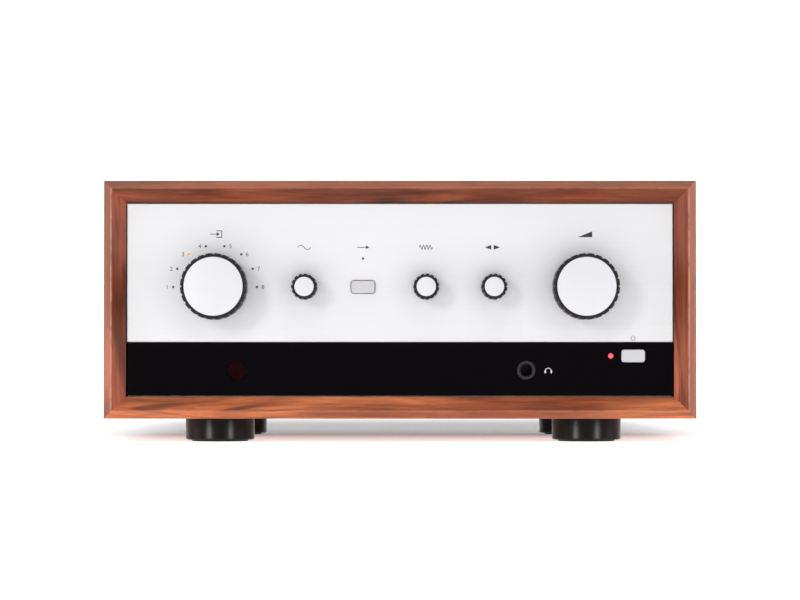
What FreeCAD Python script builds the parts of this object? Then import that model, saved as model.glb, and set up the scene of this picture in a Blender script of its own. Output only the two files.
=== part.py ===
"""Integrated amplifier in a mitred wooden case, as an assembly of separate named pieces.

Frame: millimetres, +Z up, front towards -Y, +X to the right as seen from the front. The origin is under the
centre of the whole object, at the surface that it stands on.

The case is a sleeve of four mitred boards with a bevelled front edge. A folded steel chassis slides into it and
carries a recessed aluminium faceplate over a black fascia strip, the controls, and a rear panel of sockets.
"""
import FreeCAD, Part
import math
import os

V = FreeCAD.Vector
AXIS_Y = V(0, 1, 0)
AXIS_Z = V(0, 0, 1)

# ---------------------------------------------------------------- driving sizes
# wooden case
CASE_W = 326.0          # outer width
CASE_H = 131.0          # outer height, without the feet
CASE_D = 246.2          # ridge of the front edge to the back edge
BOARD = 12.0            # board thickness
RIDGE_IN = 4.3          # front ridge, in from the outer face
OUTER_FALL = 3.4        # how far the outer bevel falls back from the ridge
INNER_FALL = 7.2        # how far the inner bevel falls back from the ridge
RIDGE_R = 0.9           # rounding of the ridge
BOARD_EDGE_R = 0.4      # rounding of a board's other long edges
VENT_W = 3.6            # vent slot width
VENT_L = 62.0           # vent slot length
VENT_PITCH = 9.5
VENT_COUNT = 12         # slots in each of the two banks
VENT_CENTRE_GAP = 30.0  # between the two banks
VENT_BACK = 46.0        # end of the slots to the back edge

# feet
FOOT_H = 13.0           # floor to the case, pad included
FOOT_R = 19.25
FOOT_X = 102.5
FOOT_SHIFT = 1.8        # all four feet, to the right of the case's middle
FOOT_FRONT = 38.5       # front foot axis, behind the ridge
FOOT_BACK = 30.0        # rear foot axis, ahead of the back edge
FOOT_EDGE_R = 1.2
PAD_PROUD = 0.8
PAD_SUNK = 2.2
PAD_RO = 15.85
PAD_RI = 9.15
PAD_FIT = 0.15          # pad to the walls of its groove
BOLT_WELL = 7.0         # depth of the foot's counterbore
BOLT_WELL_R = 6.0

# chassis
SHEET = 1.2             # tray sheet
LID_T = 1.0
PANEL_T = 1.5           # front subpanel and rear panel
CHASSIS_FIT = 1.0       # case to chassis, sides and top
REAR_INSET = 2.0        # rear panel inside the back edge
FLANGE = 10.0           # turned edges of the tray

# front plates
PLATE_T = 3.0           # faceplate and fascia strip
PLATE_RECESS = 8.0      # faceplate front, behind the ridge
PLATE_FIT = 0.5         # plates to the wood
PLATE_EDGE = 0.4        # bright chamfer round the faceplate
STRIP_H = 29.5          # fascia strip height
STRIP_GAP = 0.2         # between the strip and the faceplate

# knobs: radius, height, flutes, flute radius, flute depth, face radius
KNOB_GAP = 1.0          # knob to faceplate
BIG_KNOB_R = 18.15
BIG_KNOB_H = 18.5
BIG_FLUTES = 24
BIG_FLUTE_R = 0.75
BIG_FACE_R = 16.1
SMALL_KNOB_R = 7.1
SMALL_KNOB_H = 13.0
SMALL_FLUTES = 15
SMALL_FLUTE_R = 0.62
SMALL_FACE_R = 5.3
FLUTE_DEPTH = 0.6
FACE_T = 1.5
FACE_PROUD = 0.3
FACE_FIT = 0.1
KNOB_EDGE = 0.5
SPINDLE_R = 3.0
SPINDLE_FLAT = 1.6      # flat of the D spindle, from its axis
BUSH_RUN = 0.05         # running clearance of a spindle or a thread
SPINDLE_SUNK = 6.0      # length of spindle inside the potentiometer
SMALL_BUSH_R = 3.7
BIG_BUSH_R = 4.6
NUT_T = 2.0
NUT_ROOM = 0.3          # nut corner to the faceplate hole

# control places: heights above the inner floor, distances from the inner side
KNOB_UP = 60.5
BIG_KNOB_SIDE = 49.0
BASS_SHARE = -0.515     # places between the two large knobs, as shares of their half spacing
DIRECT_SHARE = -0.200
TREBLE_SHARE = 0.141
BALANCE_SHARE = 0.507
LAMP_RING_R = 23.1
LAMP_COUNT = 8
LIT_LAMP = 2
LAMP_R = 0.65
LAMP_FIT = 0.05
DIRECT_LAMP_RISE = 15.7
BUTTON_W = 13.0
BUTTON_H = 6.9
BUTTON_CORNER = 1.6
BUTTON_FIT = 0.35
BUTTON_PROUD = 1.5
BUTTON_TRAVEL = 1.2
STRIP_CTRL_UP = 14.6    # remote window and headphone socket, above the inner floor
POWER_UP = 22.5
POWER_SIDE = 22.5       # power button, from the inner side
POWER_LAMP_STEP = 12.3
POWER_LAMP_R = 1.5
WINDOW_R = 5.4
WINDOW_SIDE = 61.0
WINDOW_FIT = 0.1
PHONES_SIDE = 81.4
PHONES_BORE_R = 3.2
PHONES_BORE_L = 30.0
PHONES_NOSE_R = 4.3
PHONES_RING_R = 5.2
PHONES_BODY = 14.0
BOARD_STANDOFF = 13.0   # subpanel to the front circuit board
PCB_T = 1.6

# rear sockets
RCA_SIDE = 27.0         # first column, from the inner side
RCA_STEP = 22.0
RCA_COLUMNS = 4
RCA_LOW = 28.0          # rows above the inner floor
RCA_HIGH = 46.0
RCA_R = 4.15
RCA_BORE_R = 3.7
RCA_REACH = 9.5
RCA_FLANGE_R = 6.3
RCA_PIN_R = 1.75
SOCKET_FIT = 0.2
TOP_ROW_DROP = 18.0     # digital sockets, below the inner ceiling
SOCKET_DEPTH = 12.0     # rear panel to the input board
OPTICAL_W = 12.5
OPTICAL_BODY = 11.0
OPTICAL_HOLE = 8.6
OPTICAL_FRAME_T = 1.2
SHUTTER_T = 0.9
SHUTTER_FIT = 0.2
USB_W = 12.0
USB_H = 11.0
USB_HOLE_W = 8.5
USB_HOLE_H = 7.8
ANTENNA_R = 3.1
ANTENNA_REACH = 9.0
ANTENNA_NUT_T = 2.2
ANTENNA_NECK_R = ANTENNA_R - 0.4

TERMINAL_REACH = 20.0   # rear panel to the end of a speaker terminal
TERMINAL_X = (16.0, -3.05, -30.0, -49.05)
TERMINAL_NAMES = ("right_plus", "right_minus", "left_plus", "left_minus")
TERMINAL_UP = 37.0
TERMINAL_BASE_R = 8.2
TERMINAL_BASE_T = 4.0
TERMINAL_STUD_R = 3.0
BANANA_R = 2.0
BANANA_L = 11.0
CAP_R = 7.6
CAP_END = 1.5
CAP_FLUTES = 12
BUSHING_R = 5.0
TERMINAL_SEAT = 0.2     # cap to its base when screwed down
GROUND_UP = 11.0
GROUND_STUD_R = 2.0
GROUND_NUT_R = 5.2

INLET_SIDE = 39.0
INLET_UP = 37.0
INLET_W = 50.0
INLET_H = 34.0
INLET_LIP = 2.5
INLET_BODY_D = 26.0
INLET_CAVITY_W = 24.5
INLET_CAVITY_H = 16.5
INLET_CAVITY_D = 17.0
INLET_CAVITY_UP = 5.5   # cavity centre above the inlet's centre
DRAWER_DOWN = 10.0      # fuse drawer centre below the inlet's centre
DRAWER_W = 22.0
DRAWER_H = 7.0
DRAWER_D = 21.0
DRAWER_FIT = 0.15
SWITCH_DROP = 24.0      # mains switch, below the inner ceiling
SWITCH_W = 15.0
SWITCH_H = 21.0
ROCKER_W = 9.2
ROCKER_HALF = 7.2
ROCKER_TILT = 9.0

# inside
TOROID_R = 52.5
TOROID_HOLE_R = 17.0
TOROID_H = 46.0
TOROID_SIDE = 63.0
TOROID_PAD_T = 2.5
AMP_BOARD_UP = 9.0      # amplifier board above the inner floor
AMP_BOARD_D = 85.0
AMP_BOARD_FRONT = 71.0  # its front edge, behind the ridge
CAPACITOR_R = 12.5
CAPACITOR_H = 40.0
SINK_L = 120.0
SINK_H = 62.0
SINK_BASE = 5.0
FIN_T = 1.8
FIN_L = 24.0
FIN_COUNT = 15

# ---------------------------------------------------------------- worked out from them
PROUD_FRONT = KNOB_GAP + BIG_KNOB_H + FACE_PROUD - PLATE_RECESS
PROUD_BACK = TERMINAL_REACH - REAR_INSET
TOTAL_D = CASE_D + PROUD_FRONT + PROUD_BACK
Y_RIDGE = PROUD_FRONT - TOTAL_D / 2
Y_BACK = Y_RIDGE + CASE_D
Y_PLATE = Y_RIDGE + PLATE_RECESS
Y_SUB = Y_PLATE + PLATE_T           # subpanel front
Y_SUB_BACK = Y_SUB + PANEL_T
Y_FRONT_PCB = Y_SUB_BACK + BOARD_STANDOFF
Y_REAR = Y_BACK - REAR_INSET        # rear panel outer face
Y_REAR_IN = Y_REAR - PANEL_T
Y_INPUT_PCB = Y_REAR_IN - SOCKET_DEPTH

HALF_W = CASE_W / 2
X_IN = HALF_W - BOARD
Z_CASE = FOOT_H
Z_TOP = FOOT_H + CASE_H
Z_FLOOR = Z_CASE + BOARD
Z_CEIL = Z_TOP - BOARD
TRAY_X = X_IN - CHASSIS_FIT
TRAY_FLOOR = Z_FLOOR + SHEET
LID_TOP = Z_CEIL - CHASSIS_FIT
LID_BOTTOM = LID_TOP - LID_T
STRIP_TOP = Z_FLOOR + PLATE_FIT + STRIP_H

KNOB_X = X_IN - BIG_KNOB_SIDE
KNOB_Z = Z_FLOOR + KNOB_UP
STRIP_Z = Z_FLOOR + STRIP_CTRL_UP
POWER_Z = Z_FLOOR + POWER_UP
POWER_X = X_IN - POWER_SIDE
POWER_LAMP_X = POWER_X - POWER_LAMP_STEP
WINDOW_X = WINDOW_SIDE - X_IN
PHONES_X = X_IN - PHONES_SIDE
DIRECT_X = DIRECT_SHARE * KNOB_X
BIG_KNOBS = {"input": -KNOB_X, "volume": KNOB_X}
SMALL_KNOBS = {"bass": BASS_SHARE * KNOB_X, "treble": TREBLE_SHARE * KNOB_X, "balance": BALANCE_SHARE * KNOB_X}

FOOT_Y = (Y_RIDGE + FOOT_FRONT, Y_BACK - FOOT_BACK)
FEET = [(side * FOOT_X + FOOT_SHIFT, y) for y in FOOT_Y for side in (-1, 1)]

RCA_X = [X_IN - RCA_SIDE - RCA_STEP * column for column in range(RCA_COLUMNS)]
TOP_ROW_Z = Z_CEIL - TOP_ROW_DROP
RCA_PLACES = [(x, Z_FLOOR + up) for x in RCA_X for up in (RCA_HIGH, RCA_LOW)] + [(RCA_X[0], TOP_ROW_Z)]
OPTICAL_X = RCA_X[1:3]
USB_X = RCA_X[3]
ANTENNA_X = RCA_X[3] - RCA_STEP
TERMINAL_Z = Z_FLOOR + TERMINAL_UP
GROUND_X = RCA_X[0]
GROUND_Z = Z_FLOOR + GROUND_UP
INLET_X = INLET_SIDE - X_IN
INLET_Z = Z_FLOOR + INLET_UP
CAVITY_Z = INLET_Z + INLET_CAVITY_UP
DRAWER_Z = INLET_Z - DRAWER_DOWN
SWITCH_Z = Z_CEIL - SWITCH_DROP
SHUTTER_PIVOT_Z = TOP_ROW_Z + OPTICAL_HOLE / 2 - 0.8
SHUTTER_PIVOT_Y = Y_REAR - 0.2

TOROID_X = TOROID_SIDE - X_IN
TOROID_Y = (Y_FRONT_PCB + PCB_T + Y_REAR_IN - INLET_BODY_D) / 2
AMP_X0 = TOROID_X + TOROID_R + 8.0
AMP_X1 = TRAY_X - SHEET - 5.0
AMP_Y0 = Y_RIDGE + AMP_BOARD_FRONT
AMP_Y1 = AMP_Y0 + AMP_BOARD_D
AMP_Z = Z_FLOOR + AMP_BOARD_UP
AMP_TOP = AMP_Z + PCB_T
SINK_X0 = AMP_X0 + 22.0
CLEAR_HOLE = 0.25       # bolt or screw to its hole


# ---------------------------------------------------------------- shapes
def block(x0, x1, y0, y1, z0, z1):
    return Part.makeBox(x1 - x0, y1 - y0, z1 - z0, V(x0, y0, z0))


def rod_y(x, z, radius, y0, y1):
    return Part.makeCylinder(radius, y1 - y0, V(x, y0, z), AXIS_Y)


def rod_z(x, y, radius, z0, z1):
    return Part.makeCylinder(radius, z1 - z0, V(x, y, z0), AXIS_Z)


def rod_x(y, z, radius, x0, x1):
    return Part.makeCylinder(radius, x1 - x0, V(x0, y, z), V(1, 0, 0))


def tube_y(x, z, outer, inner, y0, y1):
    return rod_y(x, z, outer, y0, y1).cut(rod_y(x, z, inner, y0 - 1, y1 + 1))


def prism(points, along):
    """Closed flat polygon of vectors, pushed along a vector."""
    return Part.Face(Part.makePolygon(points + points[:1])).extrude(along)


def prism_y(points_xz, y0, y1):
    return prism([V(x, y0, z) for x, z in points_xz], V(0, y1 - y0, 0))


def prism_x(points_yz, x0, x1):
    return prism([V(x0, y, z) for y, z in points_yz], V(x1 - x0, 0, 0))


def prism_z(points_xy, z0, z1):
    return prism([V(x, y, z0) for x, y in points_xy], V(0, 0, z1 - z0))


def spun_y(x, z, profile):
    """Profile of (radius, y) points turned about the line along Y through x, z."""
    points = [V(x + radius, y, z) for radius, y in profile]
    return Part.Face(Part.makePolygon(points + points[:1])).revolve(V(x, 0, z), AXIS_Y, 360)


def spun_z(x, y, profile):
    """Profile of (radius, z) points turned about the vertical line through x, y."""
    points = [V(x + radius, y, z) for radius, z in profile]
    return Part.Face(Part.makePolygon(points + points[:1])).revolve(V(x, y, 0), AXIS_Z, 360)


def edges_along(shape, axis):
    """Straight edges that run along an axis."""
    found = []
    for edge in shape.Edges:
        if len(edge.Vertexes) == 2 and isinstance(edge.Curve, Part.Line):
            run = (edge.Vertexes[1].Point - edge.Vertexes[0].Point).normalize()
            if abs(run.dot(axis)) > 0.999:
                found.append(edge)
    return found


def slab_y(x, z, width, height, corner, y0, y1):
    """Rectangle with rounded corners, centred on x, z, from y0 to y1."""
    plain = block(x - width / 2, x + width / 2, y0, y1, z - height / 2, z + height / 2)
    return plain.makeFillet(corner, edges_along(plain, AXIS_Y))


def hexagon(flats):
    """Corners of a hexagon about 0, 0 that measures flats across its flats."""
    radius = flats / math.sqrt(3)
    return [(radius * math.cos(math.pi / 3 * k), radius * math.sin(math.pi / 3 * k)) for k in range(6)]


def hex_y(x, z, flats, y0, y1):
    return prism_y([(x + a, z + b) for a, b in hexagon(flats)], y0, y1)


def hex_z(x, y, flats, z0, z1):
    return prism_z([(x + a, y + b) for a, b in hexagon(flats)], z0, z1)


def cut_all(shape, tools):
    """Shape less every tool, in one cut."""
    return shape.cut(Part.makeCompound(tools))


def joined(pieces):
    """Several touching shapes as one solid."""
    return pieces[0].multiFuse(pieces[1:]).removeSplitter()


def save(name, *pieces):
    """Writes one node: each piece stays a solid of its own."""
    solids = [solid for piece in pieces for solid in piece.Solids]
    for solid in solids:
        assert solid.isValid() and solid.Volume > 0, name
    shape = solids[0] if len(solids) == 1 else Part.makeCompound(solids)
    shape.exportStep(f"parts/{name}.step")


# ---------------------------------------------------------------- wooden case
def board_section(u_to_vector):
    """Section of a case board: flat outer face, ridge and two bevels in front. u runs inwards."""
    outline = [
        (0, Y_RIDGE + OUTER_FALL), (RIDGE_IN, Y_RIDGE), (BOARD, Y_RIDGE + INNER_FALL),
        (BOARD, Y_BACK), (0, Y_BACK),
    ]
    return [u_to_vector(u, y) for u, y in outline]


def mitre_block(corners):
    """Room of one board between its two mitres."""
    return prism_y(corners, Y_RIDGE - 1, Y_BACK + 1)


def softened(run, along, across, faces):
    """Board run with its long edges rounded, the front ridge most. Faces are its two places across."""
    ridge = [e for e in edges_along(run, along) if e.CenterOfMass.y < Y_RIDGE + 0.01]
    run = run.makeFillet(RIDGE_R, ridge)
    rest = [e for e in edges_along(run, along)
            if min(abs(e.CenterOfMass.dot(across) - face) for face in faces) < 0.01]
    return run.makeFillet(BOARD_EDGE_R, rest)


def level_board(z_outer, inwards):
    """Top or bottom board."""
    z_inner = z_outer + inwards * BOARD
    run = prism(board_section(lambda u, y: V(-HALF_W, y, z_outer + inwards * u)), V(CASE_W, 0, 0))
    run = softened(run, V(1, 0, 0), AXIS_Z, (z_outer, z_inner))
    room = mitre_block([(-HALF_W, z_outer), (HALF_W, z_outer), (X_IN, z_inner), (-X_IN, z_inner)])
    return run.common(room)


def upright_board(side):
    """Left board for side -1, right board for side 1."""
    run = prism(board_section(lambda u, y: V(side * (HALF_W - u), y, Z_CASE)), V(0, 0, CASE_H))
    run = softened(run, AXIS_Z, V(1, 0, 0), (side * HALF_W, side * X_IN))
    room = mitre_block([
        (side * HALF_W, Z_CASE), (side * HALF_W, Z_TOP), (side * X_IN, Z_CEIL), (side * X_IN, Z_FLOOR),
    ])
    return run.common(room)


def vent_slots(z0, z1, narrower=0.0):
    """Milled slots of the two vent banks, as cutting tools from z0 to z1."""
    half = VENT_W / 2 - narrower
    y1 = Y_BACK - VENT_BACK - VENT_W / 2
    y0 = y1 - VENT_L + VENT_W
    slots = []
    for side in (-1, 1):
        for k in range(VENT_COUNT):
            x = side * (VENT_CENTRE_GAP / 2 + VENT_W / 2 + k * VENT_PITCH)
            slots += [block(x - half, x + half, y0, y1, z0, z1)]
            slots += [rod_z(x, y, half, z0, z1) for y in (y0, y1)]
    return slots


BOLT_R = 2.0
CASE_SCREW_X = 60.0


def case_boards():
    top = cut_all(level_board(Z_TOP, -1), vent_slots(Z_CEIL - 1, Z_TOP + 1))
    holes = [rod_z(x, y, BOLT_R + CLEAR_HOLE, Z_CASE - 1, Z_FLOOR + 1) for x, y in FEET]
    bottom = cut_all(level_board(Z_CASE, 1), holes)
    save("top_board", top)
    save("bottom_board", bottom)
    save("left_board", upright_board(-1))
    save("right_board", upright_board(1))


# ---------------------------------------------------------------- feet
def foot(x, y):
    z0 = PAD_PROUD
    body = rod_z(x, y, FOOT_R, z0, Z_CASE)
    rim = [e for e in body.Edges if e.BoundBox.ZMax < z0 + 0.01 and e.BoundBox.ZMin < z0 + 0.01]
    body = body.makeFillet(FOOT_EDGE_R, rim)
    groove = rod_z(x, y, PAD_RO + PAD_FIT, z0 - 1, z0 + PAD_SUNK)
    groove = groove.cut(rod_z(x, y, PAD_RI - PAD_FIT, z0 - 2, z0 + PAD_SUNK + 1))
    well = rod_z(x, y, BOLT_WELL_R, z0 - 1, z0 + BOLT_WELL)
    hole = rod_z(x, y, BOLT_R + CLEAR_HOLE, z0, Z_CASE + 1)
    return cut_all(body, [groove, well, hole])


def foot_pad(x, y):
    top = PAD_PROUD + PAD_SUNK
    return spun_z(x, y, [(PAD_RI, 0.4), (PAD_RI + 0.4, 0), (PAD_RO - 0.4, 0), (PAD_RO, 0.4),
                         (PAD_RO, top), (PAD_RI, top)])


def foot_bolt(x, y):
    """Bolt up through the foot, the bottom board and the tray."""
    seat = PAD_PROUD + BOLT_WELL
    head = rod_z(x, y, 3.8, seat - 3.0, seat).cut(hex_z(x, y, 3.0, seat - 4.0, seat - 1.4))
    return joined([head, rod_z(x, y, BOLT_R, seat, TRAY_FLOOR + 5.0)])


def nut_z(x, y, flats, bore, z0, z1):
    return hex_z(x, y, flats, z0, z1).cut(rod_z(x, y, bore, z0 - 1, z1 + 1))


def feet():
    save("feet", *[foot(x, y) for x, y in FEET])
    save("foot_pads", *[foot_pad(x, y) for x, y in FEET])


# ---------------------------------------------------------------- screws
SCREW_R = 1.5
SCREW_HEAD_R = 2.8
SCREW_HEAD_H = 1.8
REAR_SCREW_X = TRAY_X - SHEET - FLANGE / 2
REAR_SCREW_UP = (12.0, 52.0, 92.0)
REAR_SCREWS = [(side * REAR_SCREW_X, Z_FLOOR + up) for side in (-1, 1) for up in REAR_SCREW_UP
               if Z_FLOOR + up < LID_BOTTOM - FLANGE]
LID_SCREW_Y = (Y_RIDGE + 60.0, Y_BACK - 60.0)
LID_SCREWS = [(side * REAR_SCREW_X, y) for side in (-1, 1) for y in LID_SCREW_Y]
PLATE_SCREW_TOP = LID_BOTTOM - 7.0
PLATE_SCREWS = [(-KNOB_X / 2 - 25.0, PLATE_SCREW_TOP), (KNOB_X / 2 + 25.0, PLATE_SCREW_TOP), (0.0, PLATE_SCREW_TOP),
                (-TRAY_X + 8.0, STRIP_TOP + 8.0), (TRAY_X - 8.0, STRIP_TOP + 8.0),
                (-TRAY_X + 25.0, STRIP_Z), (0.0, STRIP_Z)]
STANDOFF_FLATS = 5.0
SINK_BACK = AMP_Y1 + SINK_BASE
STANDOFFS = [(x, y) for x in (AMP_X0 + 6.0, (AMP_X0 + AMP_X1) / 2, AMP_X1 - 6.0) for y in (AMP_Y0 + 6.0, AMP_Y1 - 8.0)]


def screw_rear(x, z):
    """Pan head on the rear panel, with a cross recess."""
    head = rod_y(x, z, SCREW_HEAD_R, Y_REAR, Y_REAR + SCREW_HEAD_H)
    rim = [e for e in head.Edges if e.BoundBox.YMin > Y_REAR + SCREW_HEAD_H - 0.01]
    head = head.makeFillet(0.7, rim)
    cross = [block(x - a, x + a, Y_REAR + 0.8, Y_REAR + 3, z - b, z + b) for a, b in ((1.6, 0.3), (0.3, 1.6))]
    return joined([cut_all(head, cross), rod_y(x, z, SCREW_R, Y_REAR_IN - SHEET - 3.0, Y_REAR)])


def screw_lid(x, y):
    """Countersunk screw, flush with the lid."""
    head = spun_z(x, y, [(0, LID_TOP), (SCREW_HEAD_R, LID_TOP), (SCREW_R, LID_BOTTOM), (0, LID_BOTTOM)])
    return joined([head, rod_z(x, y, SCREW_R, LID_BOTTOM - SHEET - 3.0, LID_BOTTOM)])


def lid_sink(x, y):
    """Room of a countersunk screw in the lid."""
    wide = SCREW_HEAD_R + CLEAR_HOLE / 2
    return spun_z(x, y, [(0, LID_TOP + 0.01), (wide, LID_TOP + 0.01), (SCREW_R + CLEAR_HOLE, LID_BOTTOM - 0.01),
                         (0, LID_BOTTOM - 0.01)])


PLATE_SCREW_BITE = 2.0


def screw_plate(x, z):
    """Screw from behind the subpanel into the back of a front plate."""
    return joined([rod_y(x, z, SCREW_HEAD_R, Y_SUB_BACK, Y_SUB_BACK + SCREW_HEAD_H),
                   rod_y(x, z, SCREW_R, Y_SUB - PLATE_SCREW_BITE + 0.2, Y_SUB_BACK)])


def screw_board(x, y):
    return joined([rod_z(x, y, SCREW_HEAD_R, AMP_TOP, AMP_TOP + SCREW_HEAD_H),
                   rod_z(x, y, SCREW_R, AMP_Z - 4.0, AMP_TOP)])


def standoff(x, y):
    return hex_z(x, y, STANDOFF_FLATS, TRAY_FLOOR, AMP_Z).cut(rod_z(x, y, SCREW_R + BUSH_RUN, AMP_Z - 5.0, AMP_Z + 1))


def fasteners():
    pieces = [foot_bolt(x, y) for x, y in FEET]
    pieces += [nut_z(x, y, 7.0, BOLT_R + BUSH_RUN, TRAY_FLOOR, TRAY_FLOOR + 3.2) for x, y in FEET]
    pieces += [screw_rear(x, z) for x, z in REAR_SCREWS]
    pieces += [screw_lid(x, y) for x, y in LID_SCREWS]
    pieces += [screw_plate(x, z) for x, z in PLATE_SCREWS]
    pieces += [screw_board(x, y) for x, y in STANDOFFS]
    pieces += [standoff(x, y) for x, y in STANDOFFS]
    save("fasteners", *pieces)


# ---------------------------------------------------------------- chassis
def chassis_tray():
    """Floor, two side walls with rear flanges at their ends, and a lid rail welded along the top of each wall."""
    wall_top = LID_BOTTOM
    pieces = [block(-TRAY_X, TRAY_X, Y_SUB, Y_REAR_IN, Z_FLOOR, TRAY_FLOOR)]
    rails = []
    for side in (-1, 1):
        outer, inner = side * TRAY_X, side * (TRAY_X - SHEET)
        turned = side * (TRAY_X - SHEET - FLANGE)
        low, high = sorted((outer, inner))
        pieces.append(block(low, high, Y_SUB, Y_REAR_IN, TRAY_FLOOR, wall_top))
        low, high = sorted((inner, turned))
        rails.append(block(low, high, Y_SUB_BACK + 20.0, Y_REAR_IN - SHEET, wall_top - SHEET, wall_top))
        pieces.append(block(low, high, Y_REAR_IN - SHEET, Y_REAR_IN, TRAY_FLOOR, wall_top))
    holes = [rod_z(x, y, BOLT_R + CLEAR_HOLE, Z_FLOOR - 1, TRAY_FLOOR + 1) for x, y in FEET]
    holes += [rod_y(x, z, SCREW_R + CLEAR_HOLE, Y_REAR_IN - SHEET - 1, Y_REAR_IN + 1) for x, z in REAR_SCREWS]
    lid_holes = [rod_z(x, y, SCREW_R + CLEAR_HOLE, wall_top - SHEET - 1, wall_top + 1) for x, y in LID_SCREWS]
    save("chassis_tray", cut_all(joined(pieces), holes), *[cut_all(rail, lid_holes) for rail in rails])


def chassis_lid():
    lid = block(-TRAY_X, TRAY_X, Y_SUB, Y_REAR_IN, LID_BOTTOM, LID_TOP)
    holes = vent_slots(LID_BOTTOM - 1, LID_TOP + 1, narrower=0.3) + [lid_sink(x, y) for x, y in LID_SCREWS]
    save("chassis_lid", cut_all(lid, holes))


def lamp_places():
    """Eight source lamps on a half ring round the input knob, left to right."""
    step = math.pi / (LAMP_COUNT - 1)
    return [(-KNOB_X - LAMP_RING_R * math.cos(k * step), KNOB_Z + LAMP_RING_R * math.sin(k * step))
            for k in range(LAMP_COUNT)]


DIRECT_LAMP = (DIRECT_X, KNOB_Z + DIRECT_LAMP_RISE)
BUTTONS = {"direct": (DIRECT_X, KNOB_Z), "power": (POWER_X, POWER_Z)}
BUTTON_FLANGE = 1.6     # flange of a button wider than its cap, on each side
SUB_BUTTON_ROOM = 0.8   # subpanel hole wider than the button, on each side
SMALL_NUT_FLATS = 9.8
BIG_NUT_FLATS = 13.0


def nut_hole_r(flats):
    return flats / math.sqrt(3) + NUT_ROOM


def controls():
    """(name, x, bushing radius, nut size across flats) of every turning control."""
    rows = [(name, x, BIG_BUSH_R, BIG_NUT_FLATS) for name, x in BIG_KNOBS.items()]
    return rows + [(name, x, SMALL_BUSH_R, SMALL_NUT_FLATS) for name, x in SMALL_KNOBS.items()]


def front_subpanel():
    """Steel sheet with its sides turned back along the tray walls."""
    edge = TRAY_X - SHEET - 0.1
    pieces = [block(-edge, edge, Y_SUB, Y_SUB_BACK, TRAY_FLOOR, LID_BOTTOM)]
    for side in (-1, 1):
        low, high = sorted((side * edge, side * (edge - PANEL_T)))
        pieces.append(block(low, high, Y_SUB_BACK, Y_SUB_BACK + 15.0, TRAY_FLOOR, LID_BOTTOM))
    y0, y1 = Y_SUB - 1, Y_SUB_BACK + 1
    holes = [rod_y(x, KNOB_Z, bush + CLEAR_HOLE, y0, y1) for name, x, bush, flats in controls()]
    holes += [slab_y(x, z, BUTTON_W + 2 * SUB_BUTTON_ROOM, BUTTON_H + 2 * SUB_BUTTON_ROOM, BUTTON_CORNER, y0, y1)
              for x, z in BUTTONS.values()]
    holes += [rod_y(x, z, LAMP_R + 4 * LAMP_FIT, y0, y1) for x, z in lamp_places() + [DIRECT_LAMP]]
    holes += [rod_y(POWER_LAMP_X, POWER_Z, POWER_LAMP_R + CLEAR_HOLE, y0, y1)]
    holes += [rod_y(WINDOW_X, STRIP_Z, WINDOW_R - 1.0, y0, y1)]
    holes += [rod_y(PHONES_X, STRIP_Z, PHONES_NOSE_R + CLEAR_HOLE, y0, y1)]
    holes += [rod_y(x, z, SCREW_R + CLEAR_HOLE, y0, y1) for x, z in PLATE_SCREWS]
    save("front_subpanel", cut_all(joined(pieces), holes))


def plate_blank(z0, z1):
    """Front plate that fills the case opening from z0 to z1, with a fine chamfer round its front."""
    half = X_IN - PLATE_FIT
    blank = block(-half, half, Y_PLATE, Y_SUB, z0, z1)
    rim = [e for e in blank.Edges if e.BoundBox.YMax < Y_PLATE + 0.01]
    return blank.makeChamfer(PLATE_EDGE, rim)


def blind_holes():
    return [rod_y(x, z, SCREW_R + BUSH_RUN, Y_SUB - PLATE_SCREW_BITE, Y_SUB + 1) for x, z in PLATE_SCREWS]


def button_hole(x, z):
    return slab_y(x, z, BUTTON_W + 2 * BUTTON_FIT, BUTTON_H + 2 * BUTTON_FIT, BUTTON_CORNER + BUTTON_FIT,
                  Y_PLATE - 1, Y_SUB + 1)


def front_plates():
    y0, y1 = Y_PLATE - 1, Y_SUB + 1
    holes = [rod_y(x, KNOB_Z, nut_hole_r(flats), y0, y1) for name, x, bush, flats in controls()]
    holes += [rod_y(x, z, LAMP_R + LAMP_FIT, y0, y1) for x, z in lamp_places() + [DIRECT_LAMP]]
    holes += [button_hole(*BUTTONS["direct"])] + blind_holes()
    save("faceplate", cut_all(plate_blank(STRIP_TOP + STRIP_GAP, Z_CEIL - PLATE_FIT), holes))
    holes = [button_hole(*BUTTONS["power"]), rod_y(POWER_LAMP_X, POWER_Z, POWER_LAMP_R + LAMP_FIT, y0, y1)]
    holes += [rod_y(WINDOW_X, STRIP_Z, WINDOW_R + WINDOW_FIT, y0, y1)]
    holes += [rod_y(PHONES_X, STRIP_Z, PHONES_RING_R + WINDOW_FIT, y0, y1)] + blind_holes()
    save("fascia_strip", cut_all(plate_blank(Z_FLOOR + PLATE_FIT, STRIP_TOP), holes))


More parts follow.
